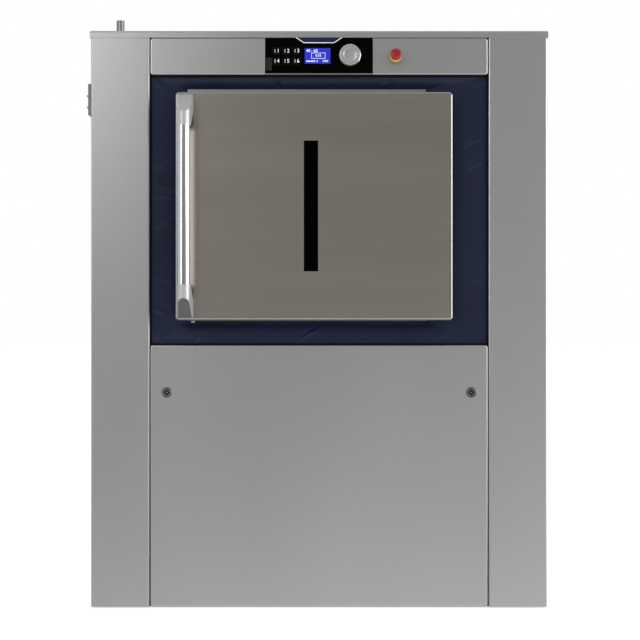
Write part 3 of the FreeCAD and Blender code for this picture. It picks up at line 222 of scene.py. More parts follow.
# dark and light shade, roughness, grain along x, y and z, relief, and the shader's own sockets
looks = {
    "brushedSteel": ((196, 196, 196), (204, 204, 204), (0.34, 0.38), (900, 900, 14), 0.02,
        {"Metallic": 1}),
    "doorSteel": ((179, 170, 162), (191, 182, 174), (0.28, 0.31), (4, 300, 500), 0.03,
        {"Metallic": 1, "Anisotropic": 0.25, "Anisotropic Rotation": 0.25}),
    "doorEdge": ((168, 168, 167), (176, 176, 175), (0.26, 0.32), (300, 300, 300), 0.005,
        {"Metallic": 1}),
    "frameSteel": ((176, 175, 172), (185, 184, 181), (0.3, 0.36), (18, 500, 700), 0.05, {"Metallic": 1}),
    "tubSteel": ((150, 150, 150), (172, 172, 172), (0.38, 0.5), (30, 200, 200), 0.08, {"Metallic": 1}),
    "drumSteel": ((176, 176, 177), (198, 198, 199), (0.2, 0.3), (20, 240, 240), 0.06, {"Metallic": 1}),
    "framePaint": ((66, 68, 71), (78, 80, 83), (0.45, 0.58), (700, 700, 700), 0.25,
        {"Coat Weight": 0.1}),
    "navyCloth": ((15, 23, 46), (23, 32, 60), (0.36, 0.46), (900, 900, 900), 0.15,
        {"Specular IOR Level": 0.3}),
    "blackGloss": ((0, 0, 1), (2, 3, 2), (0.09, 0.15), (90, 90, 90), 0.01, {"Specular IOR Level": 0.05}),
    "keyBlack": ((7, 7, 8), (13, 13, 14), (0.2, 0.28), (400, 400, 400), 0.05,
        {"Specular IOR Level": 0.15}),
    "displayBlue": ((20, 24, 120), (28, 33, 140), (0.08, 0.12), (60, 60, 60), 0.0,
        {"Emission Color": tone(44, 50, 196), "Emission Strength": 0.7}),
    "displayWhite": ((225, 228, 250), (240, 242, 255), (0.3, 0.4), (80, 80, 80), 0.0,
        {"Emission Color": tone(225, 228, 255), "Emission Strength": 0.6}),
    # white print with a painted glow: its emission brightens it though it is no lamp
    "printWhite": ((222, 224, 226), (236, 237, 239), (0.4, 0.5), (500, 500, 500), 0.03,
        {"Emission Color": (1, 1, 1, 1), "Emission Strength": 0.2}),
    "printNavy": ((12, 16, 62), (18, 23, 78), (0.2, 0.3), (200, 200, 200), 0.02, {}),
    "knobSilver": ((212, 213, 215), (224, 225, 227), (0.28, 0.36), (300, 40, 300), 0.05,
        {"Metallic": 1, "Anisotropic": 0.4}),
    "stopRed": ((138, 22, 32), (154, 30, 40), (0.26, 0.36), (300, 300, 300), 0.05,
        {"Subsurface Weight": 0.05}),
    "collarYellow": ((226, 178, 30), (240, 196, 48), (0.32, 0.42), (300, 300, 300), 0.05, {}),
    "lockDark": ((112, 112, 114), (134, 134, 136), (0.3, 0.42), (500, 500, 500), 0.08,
        {"Metallic": 0.9}),
    "lockBlack": ((6, 6, 6), (11, 11, 11), (0.4, 0.5), (500, 500, 500), 0.08,
        {"Specular IOR Level": 0.2}),
    "pinSteel": ((180, 180, 180), (200, 200, 200), (0.25, 0.35), (600, 600, 600), 0.05, {"Metallic": 1}),
    "coverGrey": ((26, 27, 28), (34, 35, 36), (0.5, 0.62), (700, 700, 700), 0.15,
        {"Specular IOR Level": 0.2}),
    "ventGrey": ((118, 119, 120), (132, 133, 134), (0.5, 0.62), (700, 700, 700), 0.2, {}),
    "darkGlass": ((0, 0, 1), (2, 2, 2), (0.06, 0.1), (40, 40, 40), 0.0, {"Specular IOR Level": 0.04}),
    "barChrome": ((236, 237, 239), (243, 244, 246), (0.10, 0.14), (300, 300, 20), 0.02, {"Metallic": 1}),
    "postCast": ((186, 187, 190), (198, 199, 202), (0.3, 0.38), (500, 500, 500), 0.06,
        {"Metallic": 0.45}),
    "postFace": ((174, 175, 178), (184, 185, 188), (0.34, 0.42), (500, 500, 500), 0.06, {"Metallic": 1}),
    # near-black painted shade for the underside of a handle post, standing for the shadow under it and
    # its dark reflection in the door
    "postPaintedShade": ((16, 16, 17), (24, 24, 25), (0.45, 0.6), (500, 500, 500), 0.1,
        {"Specular IOR Level": 0.2}),
    "pipeNickel": ((142, 142, 141), (158, 158, 157), (0.3, 0.42), (300, 300, 60), 0.08, {"Metallic": 1}),
    "pipeGrey": ((142, 143, 146), (156, 157, 160), (0.42, 0.52), (400, 400, 400), 0.08, {}),
    # near-black painted shade for the panel joints and for the cloth's edge at the mouth, where there is
    # only shadow
    "edgeBlack": ((4, 4, 5), (8, 8, 9), (0.55, 0.65), (600, 600, 600), 0.15,
        {"Specular IOR Level": 0.15}),
    "rubberBlack": ((20, 20, 20), (32, 32, 32), (0.6, 0.75), (600, 600, 600), 0.2, {}),
    "castIron": ((74, 76, 80), (92, 94, 98), (0.5, 0.62), (350, 350, 350), 0.3, {"Metallic": 0.3}),
    "castAluminium": ((140, 143, 148), (158, 161, 166), (0.42, 0.55), (350, 350, 350), 0.2,
        {"Metallic": 0.8}),
}
# broad clouds that differ from the recipe: their stretch, and their share against the grain
clouded = {"brushedSteel": ((2, 2, 0.7), 0.5), "doorSteel": ((0.8, 2, 9), 0.5),
           "navyCloth": ((9, 9, 9), 0.4)}
finish = {}
for name, look in looks.items():
    finish[name] = makeFinish(name, look, clouded.get(name, recipe["clouds"]))
print("finishes made:", len(finish))

# rows of round holes over the drum, counted along its axis and round it; the holes are not cut, each is
# painted near black as the shade inside it, with a dent in the relief
perforation = {"axis": (0, 1.065), "pitch": 0.0145, "radius": 0.24, "soft": 0.05, "wrap": 0.375,
               "shade": (14, 14, 15), "dent": 0.4}


def punchHoles(material):
    tree = material.node_tree
    shader = next(n for n in tree.nodes if n.type == "BSDF_PRINCIPLED")
    plain = shader.inputs["Base Color"].links[0].from_socket
    coords = tree.nodes.new("ShaderNodeTexCoord")
    split = tree.nodes.new("ShaderNodeSeparateXYZ")
    tree.links.new(coords.outputs["Object"], split.inputs[0])

    def compute(kind, a, b):
        step = tree.nodes.new("ShaderNodeMath")
        step.operation = kind
        for socket, value in zip(step.inputs, (a, b)):
            if isinstance(value, (int, float)):
                socket.default_value = value
            else:
                tree.links.new(value, socket)
        return step.outputs[0]

    axisY, axisZ = perforation["axis"]
    y = compute("SUBTRACT", split.outputs["Y"], axisY)
    z = compute("SUBTRACT", split.outputs["Z"], axisZ)
    around = compute("MULTIPLY", compute("ARCTAN2", z, y), perforation["wrap"] / perforation["pitch"])
    along = compute("DIVIDE", split.outputs["X"], perforation["pitch"])
    place = tree.nodes.new("ShaderNodeCombineXYZ")
    tree.links.new(around, place.inputs[0])
    tree.links.new(along, place.inputs[1])
    cells = tree.nodes.new("ShaderNodeTexVoronoi")
    cells.voronoi_dimensions = "2D"
    cells.inputs["Scale"].default_value = 1
    cells.inputs["Randomness"].default_value = 0
    tree.links.new(place.outputs[0], cells.inputs["Vector"])
    edge = tree.nodes.new("ShaderNodeMapRange")
    edge.inputs["From Min"].default_value = perforation["radius"]
    edge.inputs["From Max"].default_value = perforation["radius"] + perforation["soft"]
    tree.links.new(cells.outputs["Distance"], edge.inputs["Value"])
    mix = tree.nodes.new("ShaderNodeMix")
    mix.data_type = "RGBA"
    # inside each hole the colour is painted shade
    mix.inputs["A"].default_value = tone(*perforation["shade"])
    tree.links.new(edge.outputs["Result"], mix.inputs["Factor"])
    tree.links.new(plain, mix.inputs["B"])
    tree.links.new(mix.outputs["Result"], shader.inputs["Base Color"])
    dent = next(n for n in tree.nodes if n.type == "BUMP")
    dent.inputs["Strength"].default_value = perforation["dent"]
    tree.links.new(edge.outputs["Result"], dent.inputs["Height"])


finish["drumPerforated"] = makeFinish("drumPerforated", looks["drumSteel"])
punchHoles(finish["drumPerforated"])

# solids whose shape stays, with the finish each one takes
dressed = {
    "brushedSteel": ["side_panels", "top_cap"],
    "frameSteel": ["front_door_frame", "rear_door_frame", "front_door_liner", "rear_door_liner",
                   "damper_rods"],
    "tubSteel": ["outer_tub", "tub_ends"],
    "drumPerforated": ["drum_shell", "drum_flap_upper", "drum_flap_lower"],
    "drumSteel": ["drum_ends", "flap_latch_button"],
    "framePaint": ["base_frame", "suspension_cradle", "damper_tubes"],
    "blackGloss": ["control_fascia"],
    "keyBlack": [f"program_key_{n}" for n in range(1, 7)],
    "displayBlue": ["display_window"],
    "ventGrey": ["side_vent"],
    "darkGlass": ["front_door_window", "rear_door_window"],
    "pipeNickel": ["water_inlet"],
    "pipeGrey": ["drain_outlet", "drain_valve"],
    "rubberBlack": ["drive_belt"],
    "castIron": ["bearing_housings", "drum_pulley", "motor_pulley"],
    "castAluminium": ["drive_motor"],
}


def dressNodes():
    for name, members in dressed.items():
        for node in members:
            nodes[node].data.materials.clear()
            nodes[node].data.materials.append(finish[name])


dressNodes()
print("solids dressed:", sum(len(members) for members in dressed.values()))


def ringOf(bm, points):
    return [bm.verts.new(p) for p in points]


def skinRings(bm, rings, closed=False):
    pairs = list(zip(rings, rings[1:])) + ([(rings[-1], rings[0])] if closed else [])
    for near, far in pairs:
        count = len(near)
        for k in range(count):
            bm.faces.new((near[k], near[(k + 1) % count], far[(k + 1) % count], far[k]))


def capRings(bm, rings, normal):
    edges = []
    for ring in rings:
        for k in range(len(ring)):
            pair = (ring[k - 1], ring[k])
            edges.append(bm.edges.get(pair) or bm.edges.new(pair))
    bmesh.ops.triangle_fill(bm, edges=edges, use_beauty=True, normal=normal)


def roundedLoop(x0, x1, z0, z1, radius, steps=6):
    corners = ((x1 - radius, z1 - radius, 0), (x0 + radius, z1 - radius, 90),
               (x0 + radius, z0 + radius, 180), (x1 - radius, z0 + radius, 270))
    points = []
    for cx, cz, start in corners:
        for k in range(steps + 1):
            turn = math.radians(start + 90 * k / steps)
            points.append((cx + radius * math.cos(turn), cz + radius * math.sin(turn)))
    return points


def insetRing(bm, span, inset, y, corner, least):
    x0, x1, z0, z1 = span
    radius = max(corner - inset, least)
    loop = roundedLoop(x0 + inset, x1 - inset, z0 + inset, z1 - inset, radius)
    return ringOf(bm, [(x, y, z) for x, z in loop])


# turns a profile of (radius, along) about a line through the centre, along x, y or z
def turnProfile(bm, profile, centre, axis, segments=64):
    rings = []
    for radius, along in profile:
        spots = []
        for k in range(1 if radius == 0 else segments):
            turn = 2 * math.pi * k / segments
            a, b = radius * math.cos(turn), radius * math.sin(turn)
            spots.append({"x": (along, a, b), "y": (a, along, b), "z": (a, b, along)}[axis])
        rings.append(ringOf(bm, [Vector(s) + Vector(centre) for s in spots]))
    for near, far in zip(rings, rings[1:]):
        for k in range(segments):
            order = (near, k), (near, k + 1), (far, k + 1), (far, k)
            corners = [ring[n % len(ring)] for ring, n in order]
            bm.faces.new(list(dict.fromkeys(corners)))  # a ring of one point makes triangles


def blockAt(bm, low, high, bevel=0, segments=2):
    made = bmesh.ops.create_cube(bm, size=1)["verts"]
    size = Vector(high) - Vector(low)
    bmesh.ops.scale(bm, vec=size, verts=made)
    bmesh.ops.translate(bm, vec=(Vector(high) + Vector(low)) / 2, verts=made)
    if bevel:
        edges = list(dict.fromkeys(edge for vert in made for edge in vert.link_edges))
        bmesh.ops.bevel(bm, geom=edges, offset=bevel, segments=segments, affect="EDGES", profile=0.5)


# meshes are built in millimetres on the loading side; flip mirrors one to the clean side
sides = (("front", False), ("rear", True))


def addPiece(name, bm, look, body=None, stands=(), flip=False, sharp=35):
    if flip:
        bmesh.ops.scale(bm, vec=(1, -1, 1), verts=bm.verts)
    bmesh.ops.scale(bm, vec=(mm, mm, mm), verts=bm.verts)
    bmesh.ops.remove_doubles(bm, verts=bm.verts, dist=1e-6)
    bmesh.ops.recalc_face_normals(bm, faces=bm.faces)
    for face in bm.faces:
        face.smooth = True
    for edge in bm.edges:
        edge.smooth = len(edge.link_faces) == 2 and edge.calc_face_angle(0) < math.radians(sharp)
    mesh = bpy.data.meshes.new(name)
    bm.to_mesh(mesh)
    bm.free()
    piece = bpy.data.objects.new(name, mesh)
    scene.collection.objects.link(piece)
    for part in [look] if isinstance(look, str) else look:
        mesh.materials.append(finish[part])
    even = piece.modifiers.new("evenShading", "WEIGHTED_NORMAL")
    even.keep_sharp = True
    if body:
        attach(piece, body)
    if stands:
        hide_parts(*stands)
    return piece


# pressed sheet: flat face, rolled edges, folded sides, and holes through the face
rolling = {"steps": 8, "margin": 1.5, "leastCorner": 0.6, "leastSink": 0.4}


def pressedPan(bm, pan, holes=()):
    roll, sink, sheet, front = pan["roll"], pan["sink"], pan["sheet"], pan["front"]

    def ringAt(inset, y):
        return insetRing(bm, pan["span"], inset, y, pan["corner"], rolling["leastCorner"])

    turns = [math.pi / 2 * k / rolling["steps"] for k in range(rolling["steps"] + 1)]
    outside = [ringAt(roll + rolling["margin"], front)]
    for a in turns:
        outside.append(ringAt(roll * (1 - math.sin(a)), front + sink * (1 - math.cos(a))))
    outside.append(ringAt(0, pan["back"]))
    wide, deep = roll - sheet, max(sink - sheet, rolling["leastSink"])
    inside = [ringAt(sheet, pan["back"])]
    for a in turns[::-1]:
        inside.append(ringAt(sheet + wide * (1 - math.sin(a)), front + sheet + deep * (1 - math.cos(a))))
    skinRings(bm, outside + inside)
    for face in bm.faces:
        face.material_index = pan.get("edgeLook", 0)
    faceHoles, backHoles = [], []
    for hole in holes:
        loop = roundedLoop(*hole)
        faceHoles.append(ringOf(bm, [(x, front, z) for x, z in loop]))
        backHoles.append(ringOf(bm, [(x, front + sheet, z) for x, z in loop]))
        skinRings(bm, [faceHoles[-1], backHoles[-1]])
    capRings(bm, [outside[0]] + faceHoles, (0, -1, 0))
    capRings(bm, [inside[-1]] + backHoles, (0, 1, 0))


panels = {
    "upper": (-447.5, 447.5, 1415, 1513), "lower": (-447.5, 447.5, 3, 697),
    "corner": 6.5, "roll": 3.6, "sink": 2.4, "sheet": 2, "front": -480, "back": -455,
    "holes": {
        "front_upper": [(-129, 129, 1432, 1499, 2), (196.7, 209.3, 1457.7, 1470.3, 1)],
        "front_lower": [(-414.2, -393.8, 561.8, 582.2, 10.1), (393.8, 414.2, 561.8, 582.2, 10.1)],
        "rear_lower": [(-237.8, -162.2, 92.2, 167.8, 37.7)],
    },
}


def makePanels():
    for side, flip in sides:
        for level in ("upper", "lower"):
            bm = bmesh.new()
            place = f"{side}_{level}"
            pressedPan(bm, dict(panels, span=panels[level]), panels["holes"].get(place, ()))
            addPiece(f"{place}_sheet", bm, "brushedSteel", "cabinet", [f"{place}_panel"],
                     flip)


columns = {"outer": 605, "inner": 450, "front": 480, "back": 420, "lip": 455, "sheet": 2, "low": 3,
           "high": 1513, "bends": [(3.5, 3.5), (5, 3.5)]}


# closed outline of a folded strip; each bend is given as its reach along the sheet before and after it
def stripOutline(path, bends, sheet, steps=8):
    points = [Vector(p) for p in path]
    heads = [(b - a).normalized() for a, b in zip(points, points[1:])]
    outerLine, innerLine = [points[0]], [points[0] + heads[1] * sheet]
    for k, (before, after) in enumerate(bends, start=1):
        into, away = heads[k - 1], heads[k]
        centre = points[k] - into * before + away * after
        for step in range(steps + 1):
            turn = math.pi / 2 * step / steps
            back, on = math.cos(turn), math.sin(turn)
            outerLine.append(centre - away * after * back + into * before * on)
            innerLine.append(centre - away * (after - sheet) * back + into * (before - sheet) * on)
    outerLine.append(points[-1])
    innerLine.append(points[-1] - heads[-2] * sheet)
    return outerLine + innerLine[::-1]


def makeColumns():
    bm = bmesh.new()
    c = columns
    path = [(c["outer"], c["back"]), (c["outer"], c["front"]), (c["inner"], c["front"]),
            (c["inner"], c["lip"])]
    for sideX in (-1, 1):
        for sideY in (-1, 1):
            section = stripOutline([(sideX * x, sideY * y) for x, y in path], c["bends"], c["sheet"])
            low, high = (ringOf(bm, [(p.x, p.y, z) for p in section]) for z in (c["low"], c["high"]))
            skinRings(bm, [low, high])
            bm.faces.new(low)
            bm.faces.new(high)
    addPiece("folded_columns", bm, "brushedSteel", "cabinet", ["corner_columns"])


# black strips deep in the joints between the panels and the columns: painted shade, dark sheets where
# the gaps hold only shadow
seam = {"x": (447.6, 449.9), "y": (-477, -457), "levels": [(5, 695), (1417, 1511)], "bevel": 0.3}


def makeSeams():
    bm = bmesh.new()
    for wayX in (-1, 1):
        for wayY in (-1, 1):
            xs = sorted(wayX * x for x in seam["x"])
            ys = sorted(-wayY * y for y in seam["y"])
            for z0, z1 in seam["levels"]:
                blockAt(bm, (xs[0], ys[0], z0), (xs[1], ys[1], z1), seam["bevel"])
    addPiece("panel_seam_shade_strips", bm, "edgeBlack", "cabinet", ())


makePanels()
makeColumns()
makeSeams()
print("cabinet sheets folded")

door = {
    "span": (-377, 351, 763, 1363), "corner": 9, "roll": 6, "sink": 5, "sheet": 2, "front": -525,
    "back": -490, "edgeLook": 1, "slot": (-39.8, -2.3, 892, 1235, 0.8),
    "knuckleX": (328, 349), "knuckleY": (-523, -483), "knuckleTall": 24, "knuckleBevel": 3,
    "hinges": (863, 1263), "hingeGap": 22.3, "pin": (337, -492), "pinRadius": 5, "pinSides": 24,
    "stub": ((-337, -512, 757), (-326, -501, 765)), "stubBevel": 2,
}


def makeDoorSkins():
    (x0, x1), (y0, y1), tall = door["knuckleX"], door["knuckleY"], door["knuckleTall"]
    radius, half = door["pinRadius"], door["hingeGap"] + tall / 2
    pin = [(0, -half), (radius, -half), (radius, half), (0, half)]
    for side, flip in sides:
        bm = bmesh.new()
        pressedPan(bm, door, [door["slot"]])
        for level in door["hinges"]:
            for low in (level - door["hingeGap"] - tall, level + door["hingeGap"]):
                blockAt(bm, (x0, y0, low), (x1, y1, low + tall), door["knuckleBevel"])
            turnProfile(bm, pin, (*door["pin"], level), "z", door["pinSides"])
        blockAt(bm, *door["stub"], bevel=door["stubBevel"])
        addPiece(f"{side}_door_sheet", bm, ("doorSteel", "doorEdge"), f"{side}_door",
                 [f"{side}_door_skin"], flip)


seal = {"span": (-333.3, 267.3, 784.7, 1345.3), "corner": 24, "leastCorner": 1,
        "bulb": [(1.5, -490), (0, -488), (0, -479), (2, -473), (7, -468), (12, -466.3), (17, -468),
                 (22, -473), (24, -479), (24, -488), (22.5, -490), (16, -490), (14.5, -486),
                 (9.5, -486), (8, -490)]}


def makeSeals():
    for side, flip in sides:
        bm = bmesh.new()
        rings = [insetRing(bm, seal["span"], inset, y, seal["corner"], seal["leastCorner"])
                 for inset, y in seal["bulb"]]
        skinRings(bm, rings, closed=True)
        addPiece(f"{side}_door_seal", bm, "rubberBlack", f"{side}_door", [f"{side}_door_gasket"],
                 flip)


handle = {
    "axis": (-350.5, -577), "bar": 15.8, "barSides": 72, "shoulder": 0.1, "spigot": 12, "spigotLong": 8,
    "low": 856, "high": 1269, "post": 86, "root": -525, "foot": 20.6, "cheek": 16.4, "nose": 16,
    "noseSteps": 24, "tip": -538, "facet": 51, "heel": 45, "soften": 1.4,
    "facetMatch": 0.97, "underMatch": 0.9,  # how square a face is to its cut to take that cut's finish
}


# socket section: drafted cheeks off the door face, round nose about the bar
def postSection():
    x, y = handle["axis"]
    points = [(x - handle["foot"], handle["root"])]
    for k in range(handle["noseSteps"] + 1):
        turn = math.pi * k / handle["noseSteps"]
        points.append((x - handle["cheek"] * math.cos(turn), y - handle["nose"] * math.sin(turn)))
    points.append((x + handle["foot"], handle["root"]))
    return points


def cutAway(bm, onPlane, outward):
    geom = bm.verts[:] + bm.edges[:] + bm.faces[:]
    made = bmesh.ops.bisect_plane(bm, geom=geom, plane_co=onPlane, plane_no=outward, clear_outer=True)
    rim = [e for e in made["geom_cut"] if isinstance(e, bmesh.types.BMEdge)]
    bmesh.ops.contextual_create(bm, geom=rim)
    return rim


# a post is cut off slantwise twice: the facet at its end, and the underside towards the bar, which takes
# a near-black painted shade
def addPost(bm, barEnd, footEnd):
    x, y = handle["axis"]
    way = 1 if footEnd > barEnd else -1
    rings = [ringOf(bm, [(px, py, z) for px, py in postSection()]) for z in (barEnd, footEnd)]
    skinRings(bm, rings)
    bm.faces.new(rings[0])
    bm.faces.new(rings[1])
    bmesh.ops.recalc_face_normals(bm, faces=bm.faces)
    crest, back = y - handle["nose"], y + handle["nose"]
    heel = footEnd - way * handle["heel"]
    facetOut = Vector((0, -handle["facet"], way * (handle["tip"] - crest))).normalized()
    underOut = Vector((0, abs(heel - barEnd), way * (back - handle["root"]))).normalized()
    rims = cutAway(bm, (x, back, barEnd), underOut)
    rims += cutAway(bm, (x, handle["tip"], footEnd), facetOut)
    bmesh.ops.bevel(bm, geom=[e for e in rims if e.is_valid], offset=handle["soften"], segments=2,
                    affect="EDGES", profile=0.5)
    bmesh.ops.recalc_face_normals(bm, faces=bm.faces)
    for face in bm.faces:
        onFacet = face.normal.dot(facetOut) > handle["facetMatch"]
        onUnder = face.normal.dot(underOut) > handle["underMatch"]
        # faces of the underside cut take the painted shade
        face.material_index = 1 if onFacet else 2 if onUnder else 0


def makeHandles():
    bar, spigot, low, high = handle["bar"], handle["spigot"], handle["low"], handle["high"]
    gap, reach = handle["shoulder"], handle["spigotLong"]
    profile = [(0, low - reach), (spigot, low - reach), (spigot, low - gap), (bar, low - gap),
               (bar, high + gap), (spigot, high + gap), (spigot, high + reach), (0, high + reach)]
    posts = (("low", low, low - handle["post"]), ("high", high, high + handle["post"]))
    for side, flip in sides:
        bm = bmesh.new()
        turnProfile(bm, profile, (*handle["axis"], 0), "z", handle["barSides"])
        tube = addPiece(f"{side}_door_handle_bar", bm, "barChrome", f"{side}_door", (),
                        flip)
        for level, barEnd, footEnd in posts:
            bm = bmesh.new()
            addPost(bm, barEnd, footEnd)
            addPiece(f"{side}_door_handle_post_{level}", bm, ("postCast", "postFace", "postPaintedShade"),
                     f"{side}_door", (), flip)
        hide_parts(f"{side}_door_handle")


makeDoorSkins()
makeSeals()
makeHandles()
print("doors pressed, sealed and given handles")

# coated cloth between the cabinet mouth and the door frame, creased where it was stretched
cloth = {
    "mouth": (-450, 450, 697, 1415), "frame": (-350, 284, 762, 1378), "yMouth": -464, "yFrame": -450,
    "along": (240, 190), "across": 44, "sheet": 1.2, "belly": 3.0,
    "ripple": 1.4, "rippleScale": 0.011, "rippleSeed": {"front": 0, "rear": 7},
    "loosens": (14, 6),  # how soon it comes free of the mouth and of the frame
    # each crease: where it starts and ends across the face (x, z), its height and its width
    "creases": [
        (-446, 1164, -392, 1189, 3.2, 4.5), (-442, 1086, -384, 1104, 2.2, 7),
        (-448, 1004, -384, 1032, 3.4, 4.5), (-449, 1012, -436, 998, 2.4, 4),
        (-440, 1128, -396, 1120, 1.4, 9), (382, 1224, 434, 1252, 2.6, 4.5),
        (396, 1166, 446, 1200, 3.4, 4.5), (416, 1148, 442, 1153, 1.8, 4),
        (434, 1000, 449, 992, 2.4, 5), (-66, 698, -6, 740, 3.4, 4.5),
        (98, 701, 134, 712, 2.4, 4.5), (428, 699, 449, 722, 3.2, 5),
        (-430, 880, -392, 868, 1.6, 8), (-448, 800, -410, 782, 1.6, 7),
        (404, 880, 446, 862, 1.6, 8), (-130, 1413, -92, 1390, 2.0, 6),
        (206, 1412, 176, 1388, 1.6, 6), (-448, 1412, -414, 1384, 2.0, 7),
        (448, 1412, 412, 1384, 2.0, 7), (-330, 700, -296, 728, 1.6, 6),
        (300, 700, 336, 730, 1.6, 6), (-448, 699, -420, 728, 2.0, 6),
    ],
}
# a crease is a sharp fold with a slack valley beside it, wandering a little and fading at its ends
crease = {"gain": 0.8, "wander": 0.9, "bends": 3, "seedScale": 0.1, "overrun": 0.15, "widest": 4,
          "fadeReach": 1.3, "fadePower": 2.5, "sharp": 1.6, "valley": 0.45, "valleyAt": 1.6}


def creaseHeight(x, z):
    c, total = crease, 0
    for x0, z0, x1, z1, height, width in cloth["creases"]:
        dx, dz = x1 - x0, z1 - z0
        length = math.hypot(dx, dz)
        along = ((x - x0) * dx + (z - z0) * dz) / length ** 2
        if not -c["overrun"] < along < 1 + c["overrun"]:
            continue
        seed = x0 * c["seedScale"], z0 * c["seedScale"]
        off = ((x - x0) * dz - (z - z0) * dx) / length / width
        off = abs(off + c["wander"] * noise.noise((c["bends"] * along, *seed)))
        if off < c["widest"]:
            reach = max(0.0, 1 - abs((2 * along - 1) / c["fadeReach"]) ** c["fadePower"])
            ridge = math.exp(-c["sharp"] * off) - c["valley"] * math.exp(-(off - c["valleyAt"]) ** 2)
            total -= c["gain"] * height * reach * ridge
    return total


def walkRound(x0, x1, z0, z1):
    nx, nz = cloth["along"]
    points = [(x0 + (x1 - x0) * k / nx, z0) for k in range(nx)]
    points += [(x1, z0 + (z1 - z0) * k / nz) for k in range(nz)]
    points += [(x1 - (x1 - x0) * k / nx, z1) for k in range(nx)]
    points += [(x0, z1 - (z1 - z0) * k / nz) for k in range(nz)]
    return points


# the outer face, ring by ring from the mouth to the frame
def clothFace(seed):
    outer, inner = walkRound(*cloth["mouth"]), walkRound(*cloth["frame"])
    fromMouth, fromFrame = cloth["loosens"]
    rings = []
    for k in range(cloth["across"] + 1):
        share = k / cloth["across"]
        loose = min(1, fromMouth * share, fromFrame * (1 - share))
        ring = []
        for (x0, z0), (x1, z1) in zip(outer, inner):
            x, z = x0 + (x1 - x0) * share, z0 + (z1 - z0) * share
            y = cloth["yMouth"] + (cloth["yFrame"] - cloth["yMouth"]) * share
            spot = Vector((x, z, seed)) * cloth["rippleScale"]
            y += loose * (creaseHeight(x, z) + cloth["ripple"] * noise.noise(spot))
            y -= cloth["belly"] * math.sin(math.pi * share)
            ring.append((x, y, z))
        rings.append(ring)
    return rings


def makeBellows():
    for side, flip in sides:
        bm = bmesh.new()
        face = clothFace(cloth["rippleSeed"][side])
        layers = [[ringOf(bm, [(x, y + back, z) for x, y, z in ring]) for ring in face]
                  for back in (0, cloth["sheet"])]
        skinRings(bm, layers[0] + layers[1][::-1], closed=True)
        piece = addPiece(f"{side}_cloth_surround", bm, "navyCloth", None, [f"{side}_bellows"],
                         flip, 60)
        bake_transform(piece)


# black edging round the mouth of the cabinet, over the cloth's edge: painted shade, a dark strip for the
# shadow line along the cloth's edge
shadowEdging = {"wide": 4.6, "proud": 4.5, "round": 1.6, "behind": 2, "corner": 3}


def makeEdging():
    face, behind = cloth["yMouth"] - shadowEdging["proud"], cloth["yMouth"] + shadowEdging["behind"]
    wide, r = shadowEdging["wide"], shadowEdging["round"]
    profile = [(0, behind), (0, face), (wide - r, face), (wide - 0.3 * r, face + 0.3 * r),
               (wide, face + r), (wide, behind)]
    for side, flip in sides:
        bm = bmesh.new()
        rings = [insetRing(bm, cloth["mouth"], inset, y, shadowEdging["corner"], shadowEdging["corner"])
                 for inset, y in profile]
        skinRings(bm, rings, closed=True)
        addPiece(f"{side}_mouth_shadow_edging", bm, "edgeBlack", "cabinet", (), flip)


makeEdging()
makeBellows()
print("cloth surrounds stretched")

springs = {"at": [(-500, -300), (-500, 300), (500, -300), (500, 300)], "low": 400, "high": 600,
           "plate": 10, "rim": 37, "crown": 41.5, "waist": 33, "lobes": 3, "fine": 14, "sides": 48}
drain = {"name": "ribbed_drain_hose", "stands": ["drain_hose"], "axis": "z", "at": (-200, 0, 0),
         "low": 167.5, "high": 540, "cuff": 36, "collar": 32.8, "bore": 26,
         "crest": 33.8, "root": 29, "ribs": 16, "sides": 48}
fill = {"name": "ribbed_fill_hose", "stands": ["fill_hose"], "axis": "x", "at": (0, -250, 1300),
        "low": -525, "high": -439.3, "cuff": 14, "collar": 15, "bore": 9.4,
        "crest": 15, "root": 13.4, "ribs": 11, "sides": 40}


def lobedProfile(low, high, crest, root, count, fine=8):
    points = []
    for k in range(count * fine + 1):
        share = k / (count * fine)
        swell = 0.5 - 0.5 * math.cos(2 * math.pi * share * count)
        points.append((root + (crest - root) * math.sqrt(swell), low + (high - low) * share))
    return points


def makeSprings():
    s = springs
    low, high, rim = s["low"], s["high"], s["rim"]
    bottom, top = low + s["plate"], high - s["plate"]
    profile = [(0, low), (rim, low), (rim, bottom)]
    profile += lobedProfile(bottom, top, s["crown"], s["waist"], s["lobes"], s["fine"])
    profile += [(rim, top), (rim, high), (0, high)]
    bm = bmesh.new()
    for x, y in s["at"]:
        turnProfile(bm, profile, (x, y, 0), "z", s["sides"])
    return addPiece("lobed_springs", bm, "rubberBlack", None, ["suspension_springs"])


# ribbed between two plain cuffs, and open through its bore
def makeHose(hose):
    low, high, collar, bore = hose["low"], hose["high"], hose["collar"], hose["bore"]
    bottom, top = low + hose["cuff"], high - hose["cuff"]
    profile = [(bore, low), (collar, low), (collar, bottom)]
    profile += lobedProfile(bottom, top, hose["crest"], hose["root"], hose["ribs"])
    profile += [(collar, top), (collar, high), (bore, high), (bore, low)]
    bm = bmesh.new()
    turnProfile(bm, profile, hose["at"], hose["axis"], hose["sides"])
    return addPiece(hose["name"], bm, "rubberBlack", None, hose["stands"])


def makeSoftParts():
    piece = makeSprings()
    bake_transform(piece)
    piece = makeHose(drain)
    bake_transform(piece)
    piece = makeHose(fill)
    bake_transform(piece)


makeSoftParts()
print("springs and hoses moulded")

knob = {
    "at": (82, 0, 1464), "sides": 96, "shaft": 4, "shaftEnd": -461, "skirt": -485.3, "face": -507,
    "radius": 28.5, "bevel": 1.2, "step": 0.7, "stepAt": (6, 5.4), "round": 2.4, "roundSteps": 5,
    "dish": 17, "lip": [(1.6, 0), (0.5, 0.4), (0, 1.2), (-0.6, 2.2)],
    "sink": 3, "bowl": 0.9, "bowlSteps": (0.92, 0.8, 0.6, 0.4, 0.2),
}


